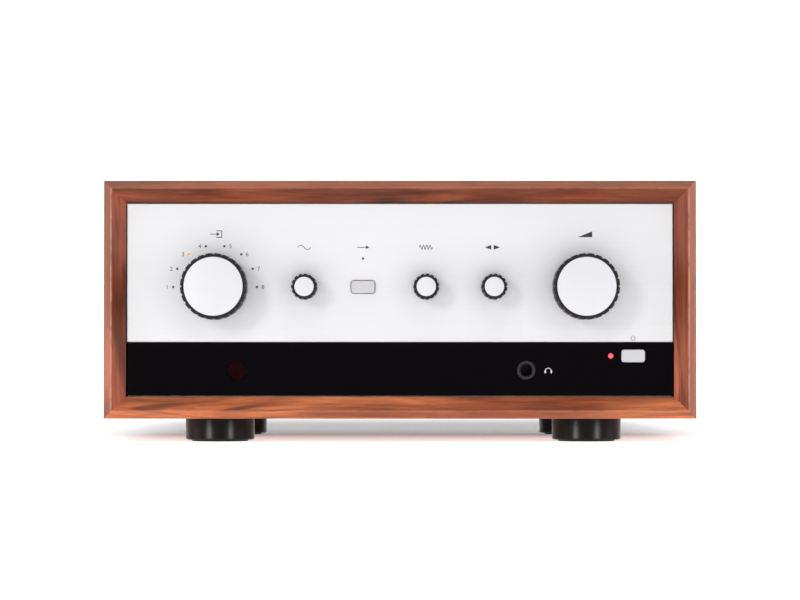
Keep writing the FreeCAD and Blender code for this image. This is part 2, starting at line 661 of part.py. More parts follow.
def rear_panel():
    panel = block(-TRAY_X, TRAY_X, Y_REAR_IN, Y_REAR, Z_FLOOR + 0.2, LID_TOP)
    y0, y1 = Y_REAR_IN - 1, Y_REAR + 1
    holes = [rod_y(x, z, RCA_R + 2 * SOCKET_FIT, y0, y1) for x, z in RCA_PLACES]
    optical = OPTICAL_BODY / 2 + SOCKET_FIT
    holes += [block(x - optical, x + optical, y0, y1, TOP_ROW_Z - optical, TOP_ROW_Z + optical) for x in OPTICAL_X]
    usb_w, usb_h = USB_W / 2 + SOCKET_FIT, USB_H / 2 + SOCKET_FIT
    holes += [block(USB_X - usb_w, USB_X + usb_w, y0, y1, TOP_ROW_Z - usb_h, TOP_ROW_Z + usb_h)]
    holes += [rod_y(ANTENNA_X, TOP_ROW_Z, ANTENNA_R + SOCKET_FIT, y0, y1)]
    holes += [rod_y(x, TERMINAL_Z, TERMINAL_STUD_R + SOCKET_FIT, y0, y1) for x in TERMINAL_X]
    holes += [rod_y(GROUND_X, GROUND_Z, GROUND_STUD_R + SOCKET_FIT, y0, y1)]
    holes += [inlet_body(SOCKET_FIT, y0, y1), switch_body(SOCKET_FIT, y0, y1)]
    holes += [rod_y(x, z, SCREW_R + CLEAR_HOLE, y0, y1) for x, z in REAR_SCREWS]
    holes += [rod_y(INLET_X + side * 20.0, INLET_Z, SCREW_R + CLEAR_HOLE, y0, y1) for side in (-1, 1)]
    top = TOP_ROW_Z + 8.0
    for k in range(10):
        holes.append(slab_y(ANTENNA_X - 22.0 - 8.0 * k, top - 9.0, 3.0, 18.0, 1.45, y0, y1))
    save("rear_panel", cut_all(panel, holes))


# ---------------------------------------------------------------- knobs and what they turn
def fluted_knob(x, radius, height, flutes, flute_r, face_r, boss_r, cavity):
    """Knob skirt with rounded grooves, a pocket for its face and a D bore in its boss."""
    back = Y_PLATE - KNOB_GAP
    front = back - height
    body = spun_y(x, KNOB_Z, [(0, back), (radius - KNOB_EDGE / 2, back), (radius, back - KNOB_EDGE / 2),
                              (radius, front + KNOB_EDGE), (radius - KNOB_EDGE, front), (0, front)])
    centre = radius - FLUTE_DEPTH + flute_r
    cuts = []
    for k in range(flutes):
        angle = math.pi / 2 + 2 * math.pi * k / flutes
        cuts.append(rod_y(x + centre * math.cos(angle), KNOB_Z + centre * math.sin(angle), flute_r,
                          front - 1, back + 1))
    pocket = FACE_T - FACE_PROUD
    cuts.append(rod_y(x, KNOB_Z, face_r + FACE_FIT, front - 1, front + pocket))
    if cavity:
        cuts.append(tube_y(x, KNOB_Z, radius - 2.4, boss_r, back - cavity, back + 1))
    return cut_all(body, cuts + [spindle_shape(x, SPINDLE_R + 0.02, 0.02, front + pocket + 2.0, back + 1)])


def spindle_shape(x, radius, wider, y0, y1):
    """D-section rod; wider opens the flat."""
    flat = SPINDLE_FLAT + wider
    return rod_y(x, KNOB_Z, radius, y0, y1).cut(
        block(x - radius, x + radius, y0 - 1, y1 + 1, KNOB_Z + flat, KNOB_Z + radius + 1))


def spindle(x, height):
    """Round where it turns in its bushing, D-section in the knob."""
    back = Y_PLATE - KNOB_GAP
    tip = back - height + FACE_T - FACE_PROUD + 2.5
    return joined([spindle_shape(x, SPINDLE_R, 0.0, tip, back + 0.6),
                   rod_y(x, KNOB_Z, SPINDLE_R, back + 0.6, Y_SUB_BACK + SPINDLE_SUNK)])


def knob_face(x, height, face_r):
    front = Y_PLATE - KNOB_GAP - height
    pocket = front + FACE_T - FACE_PROUD
    top = front - FACE_PROUD
    return spun_y(x, KNOB_Z, [(0, pocket), (face_r, pocket), (face_r, top + 0.3), (face_r - 0.3, top), (0, top)])


def knobs():
    for name, x in BIG_KNOBS.items():
        body = fluted_knob(x, BIG_KNOB_R, BIG_KNOB_H, BIG_FLUTES, BIG_FLUTE_R, BIG_FACE_R, 7.0, 13.0)
        save(f"{name}_knob", body, spindle(x, BIG_KNOB_H))
        save(f"{name}_knob_face", knob_face(x, BIG_KNOB_H, BIG_FACE_R))
    for name, x in SMALL_KNOBS.items():
        body = fluted_knob(x, SMALL_KNOB_R, SMALL_KNOB_H, SMALL_FLUTES, SMALL_FLUTE_R, SMALL_FACE_R, 0.0, 0.0)
        save(f"{name}_knob", body, spindle(x, SMALL_KNOB_H))
        save(f"{name}_knob_face", knob_face(x, SMALL_KNOB_H, SMALL_FACE_R))


def bushing(x, radius):
    """Threaded neck of a control, from behind the subpanel to just inside the faceplate."""
    return rod_y(x, KNOB_Z, radius, Y_PLATE + 0.3, Y_SUB_BACK)


def spindle_bore(x):
    return rod_y(x, KNOB_Z, SPINDLE_R + BUSH_RUN, Y_PLATE - 1, Y_SUB_BACK + SPINDLE_SUNK + 0.3)


def board_pins(x, y0, spacing, count, z):
    """Solder pins from a control back to the front circuit board."""
    first = x - spacing * (count - 1) / 2
    return [block(first + spacing * k - 0.4, first + spacing * k + 0.4, y0, Y_FRONT_PCB, z - 0.4, z + 0.4)
            for k in range(count)]


POT_R = 8.5
POT_D = 9.0
ENCODER = 14.0
VOLUME_POT = 26.0
GEARBOX = 20.0
MOTOR_R = 10.0
MOTOR_L = 24.0
GEARBOX_L = 12.0


def potentiometers():
    """Three tone controls, the source encoder, and the volume control with its motor."""
    pieces = []
    for x in SMALL_KNOBS.values():
        pot = [bushing(x, SMALL_BUSH_R), rod_y(x, KNOB_Z, POT_R, Y_SUB_BACK, Y_SUB_BACK + POT_D),
               block(x - 7.0, x + 7.0, Y_SUB_BACK + 2.0, Y_SUB_BACK + POT_D - 1, KNOB_Z - 12.5, KNOB_Z - 4.0)]
        pot += board_pins(x, Y_SUB_BACK + POT_D - 2.0, 5.0, 3, KNOB_Z - 11.0)
        pieces.append(joined(pot).cut(spindle_bore(x)))
    x = BIG_KNOBS["input"]
    half = ENCODER / 2
    encoder = [bushing(x, BIG_BUSH_R), block(x - half, x + half, Y_SUB_BACK, Y_SUB_BACK + 8.0,
                                             KNOB_Z - half, KNOB_Z + half)]
    encoder += board_pins(x, Y_SUB_BACK + 7.0, 2.5, 5, KNOB_Z - half + 0.5)
    pieces.append(joined(encoder).cut(spindle_bore(x)))
    x = BIG_KNOBS["volume"]
    half, gear = VOLUME_POT / 2, GEARBOX / 2
    gear_y = Y_FRONT_PCB + GEARBOX_L
    volume = [bushing(x, BIG_BUSH_R), block(x - half, x + half, Y_SUB_BACK, Y_FRONT_PCB, KNOB_Z - half, KNOB_Z + half),
              block(x - gear, x + gear, Y_FRONT_PCB, gear_y, KNOB_Z - gear, KNOB_Z + gear),
              rod_y(x, KNOB_Z, MOTOR_R, gear_y, gear_y + MOTOR_L)]
    pieces.append(joined(volume).cut(spindle_bore(x)))
    save("potentiometers", *pieces)
    nuts = [hex_y(x, KNOB_Z, flats, Y_SUB - NUT_T, Y_SUB).cut(
        rod_y(x, KNOB_Z, bush + BUSH_RUN, Y_SUB - NUT_T - 1, Y_SUB + 1)) for name, x, bush, flats in controls()]
    save("control_nuts", *nuts)


# ---------------------------------------------------------------- buttons, lamps, window, headphone socket
BUTTON_REST = 0.2       # flange to the subpanel when the button is out
FLANGE_T = 1.0
STEM = 3.0
STEM_FIT = 0.2
SWITCH_T = 7.0
STEM_BITE = 2.0


def push_button(x, z):
    """Cap, retaining flange behind the subpanel, and a stem into its switch."""
    flange_y = Y_SUB_BACK + BUTTON_REST
    cap = slab_y(x, z, BUTTON_W, BUTTON_H, BUTTON_CORNER, Y_PLATE - BUTTON_PROUD, flange_y)
    rim = [e for e in cap.Edges if e.BoundBox.YMax < Y_PLATE - BUTTON_PROUD + 0.01]
    cap = cap.makeChamfer(0.35, rim)
    wide, high = BUTTON_W / 2 + BUTTON_FLANGE, BUTTON_H / 2 + BUTTON_FLANGE
    flange = block(x - wide, x + wide, flange_y, flange_y + FLANGE_T, z - high, z + high)
    half = STEM / 2
    stem = block(x - half, x + half, flange_y + FLANGE_T, Y_FRONT_PCB - SWITCH_T + STEM_BITE, z - half, z + half)
    return joined([cap, flange, stem])


def push_switch(x, z):
    """Switch on the front circuit board, with a well that takes the button's stem."""
    y0 = Y_FRONT_PCB - SWITCH_T
    well = STEM / 2 + STEM_FIT
    body = block(x - 6.0, x + 6.0, y0, Y_FRONT_PCB, z - 5.0, z + 5.0)
    return body.cut(block(x - well, x + well, y0 - 1, y0 + STEM_BITE + BUTTON_TRAVEL + 0.5, z - well, z + well))


def buttons():
    for name, (x, z) in BUTTONS.items():
        save(f"{name}_button", push_button(x, z))


def light_pipe(x, z):
    """Clear rod from the front of the faceplate to the lamp on the front circuit board, with a rounded nose."""
    pipe = rod_y(x, z, LAMP_R, Y_PLATE, Y_FRONT_PCB - 1.5)
    lamp = block(x - 1.2, x + 1.2, Y_FRONT_PCB - 1.5, Y_FRONT_PCB, z - 0.8, z + 0.8)
    return joined([pipe, lamp])


def lamps():
    places = lamp_places()
    unlit = [place for k, place in enumerate(places) if k != LIT_LAMP] + [DIRECT_LAMP]
    save("source_lamps", *[light_pipe(x, z) for x, z in unlit])
    save("lit_source_lamp", light_pipe(*places[LIT_LAMP]))
    dome = Part.makeSphere(POWER_LAMP_R, V(POWER_LAMP_X, Y_PLATE + POWER_LAMP_R - 0.4, POWER_Z))
    body = rod_y(POWER_LAMP_X, POWER_Z, POWER_LAMP_R, Y_PLATE + POWER_LAMP_R - 0.4, Y_FRONT_PCB - 6.0)
    collar = rod_y(POWER_LAMP_X, POWER_Z, POWER_LAMP_R + 0.4, Y_FRONT_PCB - 7.0, Y_FRONT_PCB - 6.0)
    legs = [block(POWER_LAMP_X + s - 0.25, POWER_LAMP_X + s + 0.25, Y_FRONT_PCB - 6.0, Y_FRONT_PCB,
                  POWER_Z - 0.25, POWER_Z + 0.25) for s in (-1.27, 1.27)]
    save("power_lamp", joined([dome, body, collar] + legs))


def remote_window():
    y0 = Y_PLATE + 0.15
    save("remote_window", spun_y(WINDOW_X, STRIP_Z, [
        (0, Y_SUB), (WINDOW_R, Y_SUB), (WINDOW_R, y0 + 0.3), (WINDOW_R - 0.3, y0), (0, y0)]))


def headphone_socket():
    x, z = PHONES_X, STRIP_Z
    y0 = Y_PLATE + 0.2
    half = PHONES_BODY / 2
    body = joined([rod_y(x, z, PHONES_NOSE_R, y0, Y_SUB_BACK),
                   block(x - half, x + half, Y_SUB_BACK, Y_PLATE + 1.0 + PHONES_BORE_L + 1.5, z - half, z + half)])
    mouth = spun_y(x, z, [(0, y0 - 0.01), (PHONES_NOSE_R - 0.4, y0 - 0.01), (PHONES_BORE_R, y0 + 0.8), (0, y0 + 0.8)])
    body = cut_all(body, [mouth, rod_y(x, z, PHONES_BORE_R, y0 - 1, y0 + 0.8 + PHONES_BORE_L)])
    ring = spun_y(x, z, [(PHONES_NOSE_R + BUSH_RUN, y0), (PHONES_RING_R - 0.3, y0), (PHONES_RING_R, y0 + 0.3),
                         (PHONES_RING_R, Y_SUB), (PHONES_NOSE_R + BUSH_RUN, Y_SUB)])
    save("headphone_socket", body, ring)


def front_board():
    """Circuit board behind the controls, with the button switches, remote receiver and a ribbon plug on it."""
    y0, y1 = Y_FRONT_PCB, Y_FRONT_PCB + PCB_T
    edge = TRAY_X - SHEET - PANEL_T - 4.0
    board = block(-edge, edge, y0, y1, TRAY_FLOOR + 5.0, LID_BOTTOM - 8.0)
    gear, half = GEARBOX / 2 + 0.5, PHONES_BODY / 2 + 0.5
    holes = [block(KNOB_X - gear, KNOB_X + gear, y0 - 1, y1 + 1, KNOB_Z - gear, KNOB_Z + gear),
             block(PHONES_X - half, PHONES_X + half, y0 - 1, y1 + 1, STRIP_Z - half, STRIP_Z + half)]
    board = cut_all(board, holes)
    receiver = block(WINDOW_X - 3.5, WINDOW_X + 3.5, y0 - 6.0, y0, STRIP_Z - 4.0, STRIP_Z + 4.0)
    connector = block(RIBBON_X - RIBBON_W / 2 - 2, RIBBON_X + RIBBON_W / 2 + 2, y1, y1 + 6.0,
                      RIBBON_Z - 3.0, RIBBON_Z + 3.0)
    posts = [rod_y(x, z, 2.5, Y_SUB_BACK, y0) for x in (-edge + 6.0, edge - 6.0)
             for z in (TRAY_FLOOR + 11.0, LID_BOTTOM - 14.0)]
    switches = [push_switch(x, z) for x, z in BUTTONS.values()]
    save("front_board", board, receiver, connector, *posts, *switches)


# ---------------------------------------------------------------- rear sockets
def phono_socket(x, z):
    """Shell, insulator, centre contact and moulded block of one phono socket."""
    end = Y_REAR + RCA_REACH
    shell = joined([rod_y(x, z, RCA_R, Y_REAR_IN, end), rod_y(x, z, RCA_FLANGE_R, Y_REAR, Y_REAR + 1.4)])
    shell = shell.cut(rod_y(x, z, RCA_BORE_R, Y_REAR_IN - 1, end + 1))
    insert = rod_y(x, z, RCA_BORE_R, Y_REAR_IN, end - 1.0).cut(rod_y(x, z, RCA_PIN_R, Y_REAR_IN - 1, end))
    pin = rod_y(x, z, RCA_PIN_R, Y_REAR_IN, end - 1.4).cut(rod_y(x, z, 1.55, Y_REAR + 0.5, end))
    body = block(x - 7.0, x + 7.0, Y_INPUT_PCB, Y_REAR_IN, z - 7.0, z + 7.0)
    return [shell, insert, pin, body]


def phono_sockets():
    save("phono_sockets", *[solid for x, z in RCA_PLACES for solid in phono_socket(x, z)])


def optical_socket(x):
    """Square housing with a frame on the rear panel; its shutter turns on two pins near the top."""
    z, half, hole = TOP_ROW_Z, OPTICAL_BODY / 2, OPTICAL_HOLE / 2
    lip = OPTICAL_W / 2
    body = joined([block(x - half, x + half, Y_INPUT_PCB, Y_REAR, z - half, z + half),
                   slab_y(x, z, OPTICAL_W, OPTICAL_W, 0.8, Y_REAR, Y_REAR + OPTICAL_FRAME_T)])
    corner = 1.6
    mouth = prism_y([(x - hole, z + hole), (x - hole, z - hole + corner), (x - hole + corner, z - hole),
                     (x + hole - corner, z - hole), (x + hole, z - hole + corner), (x + hole, z + hole)],
                    Y_INPUT_PCB + 1.2, Y_REAR + OPTICAL_FRAME_T + 1)
    pivots = rod_x(SHUTTER_PIVOT_Y, SHUTTER_PIVOT_Z, 0.5 + BUSH_RUN, x - hole - 0.7, x + hole + 0.7)
    assert lip > half
    return cut_all(body, [mouth, pivots])


def optical_shutter(x):
    """Spring flap that closes an optical socket."""
    z0 = TOP_ROW_Z - OPTICAL_HOLE / 2 + SHUTTER_FIT
    half = OPTICAL_HOLE / 2 - SHUTTER_FIT
    y0, y1 = SHUTTER_PIVOT_Y - SHUTTER_T / 2, SHUTTER_PIVOT_Y + SHUTTER_T / 2
    corner = 1.6
    flap = prism_y([(x - half, SHUTTER_PIVOT_Z), (x - half, z0 + corner), (x - half + corner, z0),
                    (x + half - corner, z0), (x + half, z0 + corner), (x + half, SHUTTER_PIVOT_Z)], y0, y1)
    knuckle = rod_x(SHUTTER_PIVOT_Y, SHUTTER_PIVOT_Z, SHUTTER_T / 2, x - half, x + half)
    pins = rod_x(SHUTTER_PIVOT_Y, SHUTTER_PIVOT_Z, 0.5 - 1e-3, x - half - 0.8, x + half + 0.8)
    return joined([flap, knuckle, pins])


def usb_socket():
    x, z = USB_X, TOP_ROW_Z
    w, h = USB_W / 2, USB_H / 2
    hole_w, hole_h, cut = USB_HOLE_W / 2, USB_HOLE_H / 2, 1.8
    shell = block(x - w, x + w, Y_INPUT_PCB, Y_REAR + 0.8, z - h, z + h)
    mouth = prism_y([(x - hole_w, z - hole_h), (x + hole_w, z - hole_h), (x + hole_w, z + hole_h - cut),
                     (x + hole_w - cut, z + hole_h), (x - hole_w + cut, z + hole_h), (x - hole_w, z + hole_h - cut)],
                    Y_REAR - 9.0, Y_REAR + 2)
    tongue = block(x - 2.8, x + 2.8, Y_REAR - 9.0, Y_REAR - 0.6, z - 1.6, z + 1.6)
    return [shell.cut(mouth), tongue]


def antenna_jack():
    """Threaded coaxial jack with its hexagon nut, for the wireless receiver."""
    x, z = ANTENNA_X, TOP_ROW_Z
    nut_end = Y_REAR + ANTENNA_NUT_T
    barrel = joined([rod_y(x, z, ANTENNA_R, nut_end, Y_REAR + ANTENNA_REACH),
                     rod_y(x, z, ANTENNA_NECK_R, Y_REAR_IN, nut_end),
                     rod_y(x, z, 4.6, Y_REAR_IN - 4.0, Y_REAR_IN)])
    barrel = barrel.cut(tube_y(x, z, 2.3, 0.9, Y_REAR + 3.0, Y_REAR + ANTENNA_REACH + 1))
    nut = hex_y(x, z, 8.0, Y_REAR, nut_end).cut(rod_y(x, z, ANTENNA_NECK_R + BUSH_RUN, Y_REAR - 1, nut_end + 1))
    return [barrel, nut]


def digital_sockets():
    save("optical_sockets", *[optical_socket(x) for x in OPTICAL_X])
    for number, x in enumerate(OPTICAL_X, 1):
        save(f"optical_shutter_{number}", optical_shutter(x))
    save("usb_and_antenna_sockets", *usb_socket(), *antenna_jack())


def input_board():
    """Circuit board that carries the rear sockets."""
    y0, y1 = Y_INPUT_PCB - PCB_T, Y_INPUT_PCB
    board = block(USB_X - 12.0, RCA_X[0] + 10.0, y0, y1, Z_FLOOR + RCA_LOW - 12.0, TOP_ROW_Z + 9.0)
    connector = block(REAR_RIBBON_X - RIBBON_W / 2 - 1, REAR_RIBBON_X + RIBBON_W / 2 + 1, y0 - 6.0, y0,
                      RIBBON_Z - 3.0, RIBBON_Z + 3.0)
    save("input_board", board, connector)


# ---------------------------------------------------------------- speaker and earth terminals
def terminal_post(x):
    """Insulating base, inner washer, nut, and the stud with its plug bore and wire hole."""
    z = TERMINAL_Z
    base = spun_y(x, z, [(TERMINAL_STUD_R + BUSH_RUN, Y_REAR), (TERMINAL_BASE_R, Y_REAR),
                         (TERMINAL_BASE_R, Y_REAR + TERMINAL_BASE_T - 0.8),
                         (TERMINAL_BASE_R - 0.8, Y_REAR + TERMINAL_BASE_T),
                         (TERMINAL_STUD_R + BUSH_RUN, Y_REAR + TERMINAL_BASE_T)])
    washer = tube_y(x, z, 7.0, TERMINAL_STUD_R + BUSH_RUN, Y_REAR_IN - 2.0, Y_REAR_IN)
    nut = hex_y(x, z, 9.0, Y_REAR_IN - 5.0, Y_REAR_IN - 2.0)
    nut = nut.cut(rod_y(x, z, TERMINAL_STUD_R + BUSH_RUN, Y_REAR_IN - 6, Y_REAR_IN))
    end = Y_REAR + TERMINAL_REACH - CAP_END - 0.3
    stud = rod_y(x, z, TERMINAL_STUD_R, Y_REAR_IN - 12.0, end)
    stud = stud.cut(rod_y(x, z, BANANA_R, end - BANANA_L, end + 1))
    wire_y = Y_REAR + TERMINAL_BASE_T + 1.6
    stud = stud.cut(Part.makeCylinder(1.1, 10, V(x, wire_y, z - 5), AXIS_Z))
    return [base, washer, nut, stud]


def terminal_bush(x):
    """Threaded brass insert of a terminal cap."""
    y0 = Y_REAR + TERMINAL_BASE_T + TERMINAL_SEAT
    return tube_y(x, TERMINAL_Z, BUSHING_R, TERMINAL_STUD_R + BUSH_RUN, y0, Y_REAR + TERMINAL_REACH - CAP_END - 0.1)


def terminal_cap(x):
    """Fluted plastic cap, open at its end for a plug."""
    z = TERMINAL_Z
    y0, end = Y_REAR + TERMINAL_BASE_T + TERMINAL_SEAT, Y_REAR + TERMINAL_REACH
    cap = spun_y(x, z, [(0, y0), (CAP_R, y0), (CAP_R, end - 0.8), (CAP_R - 0.8, end), (0, end)])
    cuts = [rod_y(x, z, BUSHING_R + BUSH_RUN, y0 - 1, end - CAP_END), rod_y(x, z, BANANA_R + 0.4, y0, end + 1)]
    for k in range(CAP_FLUTES):
        angle = 2 * math.pi * k / CAP_FLUTES
        cuts.append(rod_y(x + (CAP_R + 0.5) * math.cos(angle), z + (CAP_R + 0.5) * math.sin(angle), 1.1,
                          y0 + 3.0, end + 1))
    return cut_all(cap, cuts)


GROUND_TRAVEL_ROOM = 14.0


def ground_terminal():
    """Fixed earth stud and collar, loose washer and thumb nut."""
    x, z = GROUND_X, GROUND_Z
    collar = tube_y(x, z, 4.8, GROUND_STUD_R + BUSH_RUN, Y_REAR, Y_REAR + 2.0)
    nut = hex_y(x, z, 7.0, Y_REAR_IN - 3.2, Y_REAR_IN).cut(
        rod_y(x, z, GROUND_STUD_R + BUSH_RUN, Y_REAR_IN - 4, Y_REAR_IN + 1))
    stud = rod_y(x, z, GROUND_STUD_R, Y_REAR_IN - 5.0, Y_REAR + GROUND_TRAVEL_ROOM)
    washer = tube_y(x, z, 4.5, GROUND_STUD_R + BUSH_RUN, Y_REAR + 2.1, Y_REAR + 3.1)
    thumb = rod_y(x, z, GROUND_NUT_R, Y_REAR + 3.2, Y_REAR + 9.2)
    cuts = [rod_y(x, z, GROUND_STUD_R + BUSH_RUN, Y_REAR, Y_REAR + 12)]
    for k in range(24):
        angle = 2 * math.pi * k / 24
        cuts.append(rod_y(x + (GROUND_NUT_R + 0.25) * math.cos(angle), z + (GROUND_NUT_R + 0.25) * math.sin(angle),
                          0.45, Y_REAR + 3.9, Y_REAR + 8.5))
    return [collar, nut, stud], washer, cut_all(thumb, cuts)


def terminals():
    fixed, washer, thumb = ground_terminal()
    for x in TERMINAL_X:
        fixed += terminal_post(x)
    save("terminal_posts", *fixed)
    for name, x in zip(TERMINAL_NAMES, TERMINAL_X):
        save(f"terminal_bush_{name}", terminal_bush(x))
        save(f"terminal_cap_{name}", terminal_cap(x))
    save("ground_washer", washer)
    save("ground_nut", thumb)


# ---------------------------------------------------------------- mains inlet and switch
def inlet_body(wider, y0, y1):
    """Body of the inlet that passes the rear panel; wider grows it to the panel's cut-out."""
    return slab_y(INLET_X, INLET_Z, 30.0 + 2 * wider, INLET_H - 4.0 + 2 * wider, 1.5, y0, y1)


def mains_inlet():
    """Flanged inlet: cavity with three blades above a slot for the fuse drawer."""
    x, face = INLET_X, Y_REAR + INLET_LIP
    back = Y_REAR_IN - INLET_BODY_D
    body = joined([inlet_body(0, back, Y_REAR), slab_y(x, INLET_Z, INLET_W, INLET_H, 4.0, Y_REAR, face)])
    w, h, corner = INLET_CAVITY_W / 2, INLET_CAVITY_H / 2, 4.0
    floor = face - INLET_CAVITY_D
    cavity = prism_y([(x - w, CAVITY_Z - h), (x + w, CAVITY_Z - h), (x + w, CAVITY_Z + h - corner),
                      (x + w - corner, CAVITY_Z + h), (x - w + corner, CAVITY_Z + h), (x - w, CAVITY_Z + h - corner)],
                     floor, face + 1)
    slot_w, slot_h = DRAWER_W / 2 + DRAWER_FIT, DRAWER_H / 2 + DRAWER_FIT
    slot = block(x - slot_w, x + slot_w, face - DRAWER_D - 0.5, face + 1, DRAWER_Z - slot_h, DRAWER_Z + slot_h)
    cuts = [cavity, slot]
    cuts += [rod_y(x + side * 20.0, INLET_Z, SCREW_R + CLEAR_HOLE, back, face + 1) for side in (-1, 1)]
    body = cut_all(body, cuts)
    blades = [block(x + dx - 1.0, x + dx + 1.0, back - 6.0, face - 2.0, CAVITY_Z + dz - 2.0, CAVITY_Z + dz + 2.0)
              for dx, dz in ((-7.0, -2.0), (0.0, 2.0), (7.0, -2.0))]
    body = cut_all(body, blades)
    screws = []
    for side in (-1, 1):
        head = rod_y(x + side * 20.0, INLET_Z, SCREW_HEAD_R, face, face + 1.6)
        head = head.cut(block(x + side * 20.0 - 2.2, x + side * 20.0 + 2.2, face + 0.9, face + 3,
                              INLET_Z - 0.35, INLET_Z + 0.35))
        screws.append(joined([head, rod_y(x + side * 20.0, INLET_Z, SCREW_R, Y_REAR_IN - 3.0, face)]))
    save("mains_inlet", body, *blades, *screws)


def fuse_drawer():
    """Sliding drawer with a finger lip and one fuse lying in it."""
    x, z, face = INLET_X, DRAWER_Z, Y_REAR + INLET_LIP
    w, h = DRAWER_W / 2, DRAWER_H / 2
    tray = block(x - w, x + w, face - DRAWER_D, face, z - h, z + h)
    tray = tray.cut(block(x - 10.2, x + 10.2, face - 14.0, face - 8.0, z - h + 1.0, z + h + 1))
    lip = slab_y(x, z, DRAWER_W + 3.0, DRAWER_H + 1.6, 1.2, face + 0.1, face + 1.8)
    neck = block(x - w, x + w, face, face + 0.1, z - h, z + h)
    finger = rod_x(face + 3.4, z - h - 0.2, 2.4, x - 6.0, x + 6.0)
    fuse = rod_x(face - 11.0, z - h + 1.0 + 2.6, 2.6, x - 10.0, x + 10.0)
    save("fuse_drawer", joined([tray, lip, neck]).cut(finger), fuse)


ROCKER_Y = Y_REAR - 1.0
SWITCH_BODY_W = SWITCH_W - 2.4
SWITCH_BODY_H = SWITCH_H - 2.4


def switch_body(wider, y0, y1):
    return slab_y(INLET_X, SWITCH_Z, SWITCH_BODY_W + 2 * wider, SWITCH_BODY_H + 2 * wider, 1.0, y0, y1)


def mains_switch():
    """Switch frame with the rocker's pivot holes in its side walls."""
    x, z = INLET_X, SWITCH_Z
    body = joined([switch_body(0, Y_REAR - 18.0, Y_REAR), slab_y(x, z, SWITCH_W, SWITCH_H, 1.5, Y_REAR, Y_REAR + 1.5)])
    w, h = ROCKER_W / 2 + 0.2, ROCKER_HALF + 0.9
    well = block(x - w, x + w, Y_REAR - 9.0, Y_REAR + 3, z - h, z + h)
    pivots = rod_x(ROCKER_Y, z, 1.2 + BUSH_RUN, x - w - 1.2, x + w + 1.2)
    tabs = [block(x - 0.4, x + 0.4, Y_REAR - 26.0, Y_REAR - 18.0, z + s - 2.4, z + s + 2.4) for s in (-6.0, 0.0, 6.0)]
    save("mains_switch", joined([cut_all(body, [well, pivots])] + tabs))


def mains_rocker():
    """Rocker with a shallow V face, at rest with its upper half pressed in."""
    x, z, y = INLET_X, SWITCH_Z, ROCKER_Y
    outline = [(y + 4.4, z - ROCKER_HALF), (y + 3.0, z), (y + 4.4, z + ROCKER_HALF), (y - 1.0, z + ROCKER_HALF),
               (y - 4.0, z + 3.0), (y - 4.0, z - 3.0), (y - 1.0, z - ROCKER_HALF)]
    body = prism_x(outline, x - ROCKER_W / 2, x + ROCKER_W / 2)
    edges = [e for e in edges_along(body, V(1, 0, 0)) if e.CenterOfMass.y > y + 4.0]
    body = body.makeFillet(0.8, edges)
    pins = rod_x(y, z, 1.2, x - ROCKER_W / 2 - 1.2, x + ROCKER_W / 2 + 1.2)
    rocker = joined([body, pins])
    rocker.rotate(V(x, y, z), V(1, 0, 0), ROCKER_TILT)
    save("mains_rocker", rocker)


# ---------------------------------------------------------------- inside
RIBBON_W = 20.0
RIBBON_T = 0.9
RIBBON_R = 8.0
RIBBON_X = AMP_X0 + 45.0
RIBBON_Z = AMP_TOP + 24.0
REAR_RIBBON_W = 14.0
REAR_RIBBON_X = min(AMP_X1 - 12.0, RCA_X[0] + 2.0)
PLUG_H = 7.0


def ribbon(x, width, y_start, y_end, z_end):
    """Flat cable: level run from y_start, one bend down, then straight to z_end. y_end is where it comes down."""
    way = 1 if y_end > y_start else -1
    half = RIBBON_T / 2
    bend = y_end - way * RIBBON_R
    centre_z = RIBBON_Z - RIBBON_R
    slope = math.sqrt(0.5)

    def edge(radius, level):
        top, side = V(0, bend, level), V(0, y_end + (radius - RIBBON_R) * way, centre_z)
        middle = V(0, bend + way * radius * slope, centre_z + radius * slope)
        return Part.Arc(top, middle, side).toShape(), top, side

    outer, outer_top, outer_side = edge(RIBBON_R + half, RIBBON_Z + half)
    inner, inner_top, inner_side = edge(RIBBON_R - half, RIBBON_Z - half)
    start_high, start_low = V(0, y_start, RIBBON_Z + half), V(0, y_start, RIBBON_Z - half)
    end_out, end_in = V(0, outer_side.y, z_end), V(0, inner_side.y, z_end)
    wire = Part.Wire([
        Part.makeLine(start_high, outer_top), outer, Part.makeLine(outer_side, end_out),
        Part.makeLine(end_out, end_in), Part.makeLine(end_in, inner_side), inner,
        Part.makeLine(inner_top, start_low), Part.makeLine(start_low, start_high)])
    strip = Part.Face(wire).extrude(V(width, 0, 0))
    strip.translate(V(x - width / 2, 0, 0))
    return strip


def lead(points, radius, bend):
    """Round wire along straight runs joined by tangent arcs."""
    edges, start = [], points[0]
    for before, corner, after in zip(points, points[1:], points[2:]):
        a, b = (before - corner).normalize(), (after - corner).normalize()
        half = a.getAngle(b) / 2
        back = bend / math.tan(half)
        p, q = corner + a * back, corner + b * back
        centre = corner + (a + b).normalize() * (bend / math.sin(half))
        middle = centre + (corner - centre).normalize() * bend
        edges += [Part.makeLine(start, p), Part.Arc(p, middle, q).toShape()]
        start = q
    edges.append(Part.makeLine(start, points[-1]))
    path = Part.Wire(edges)
    section = Part.Wire([Part.makeCircle(radius, points[0], points[1] - points[0])])
    return path.makePipeShell([section], True, False)


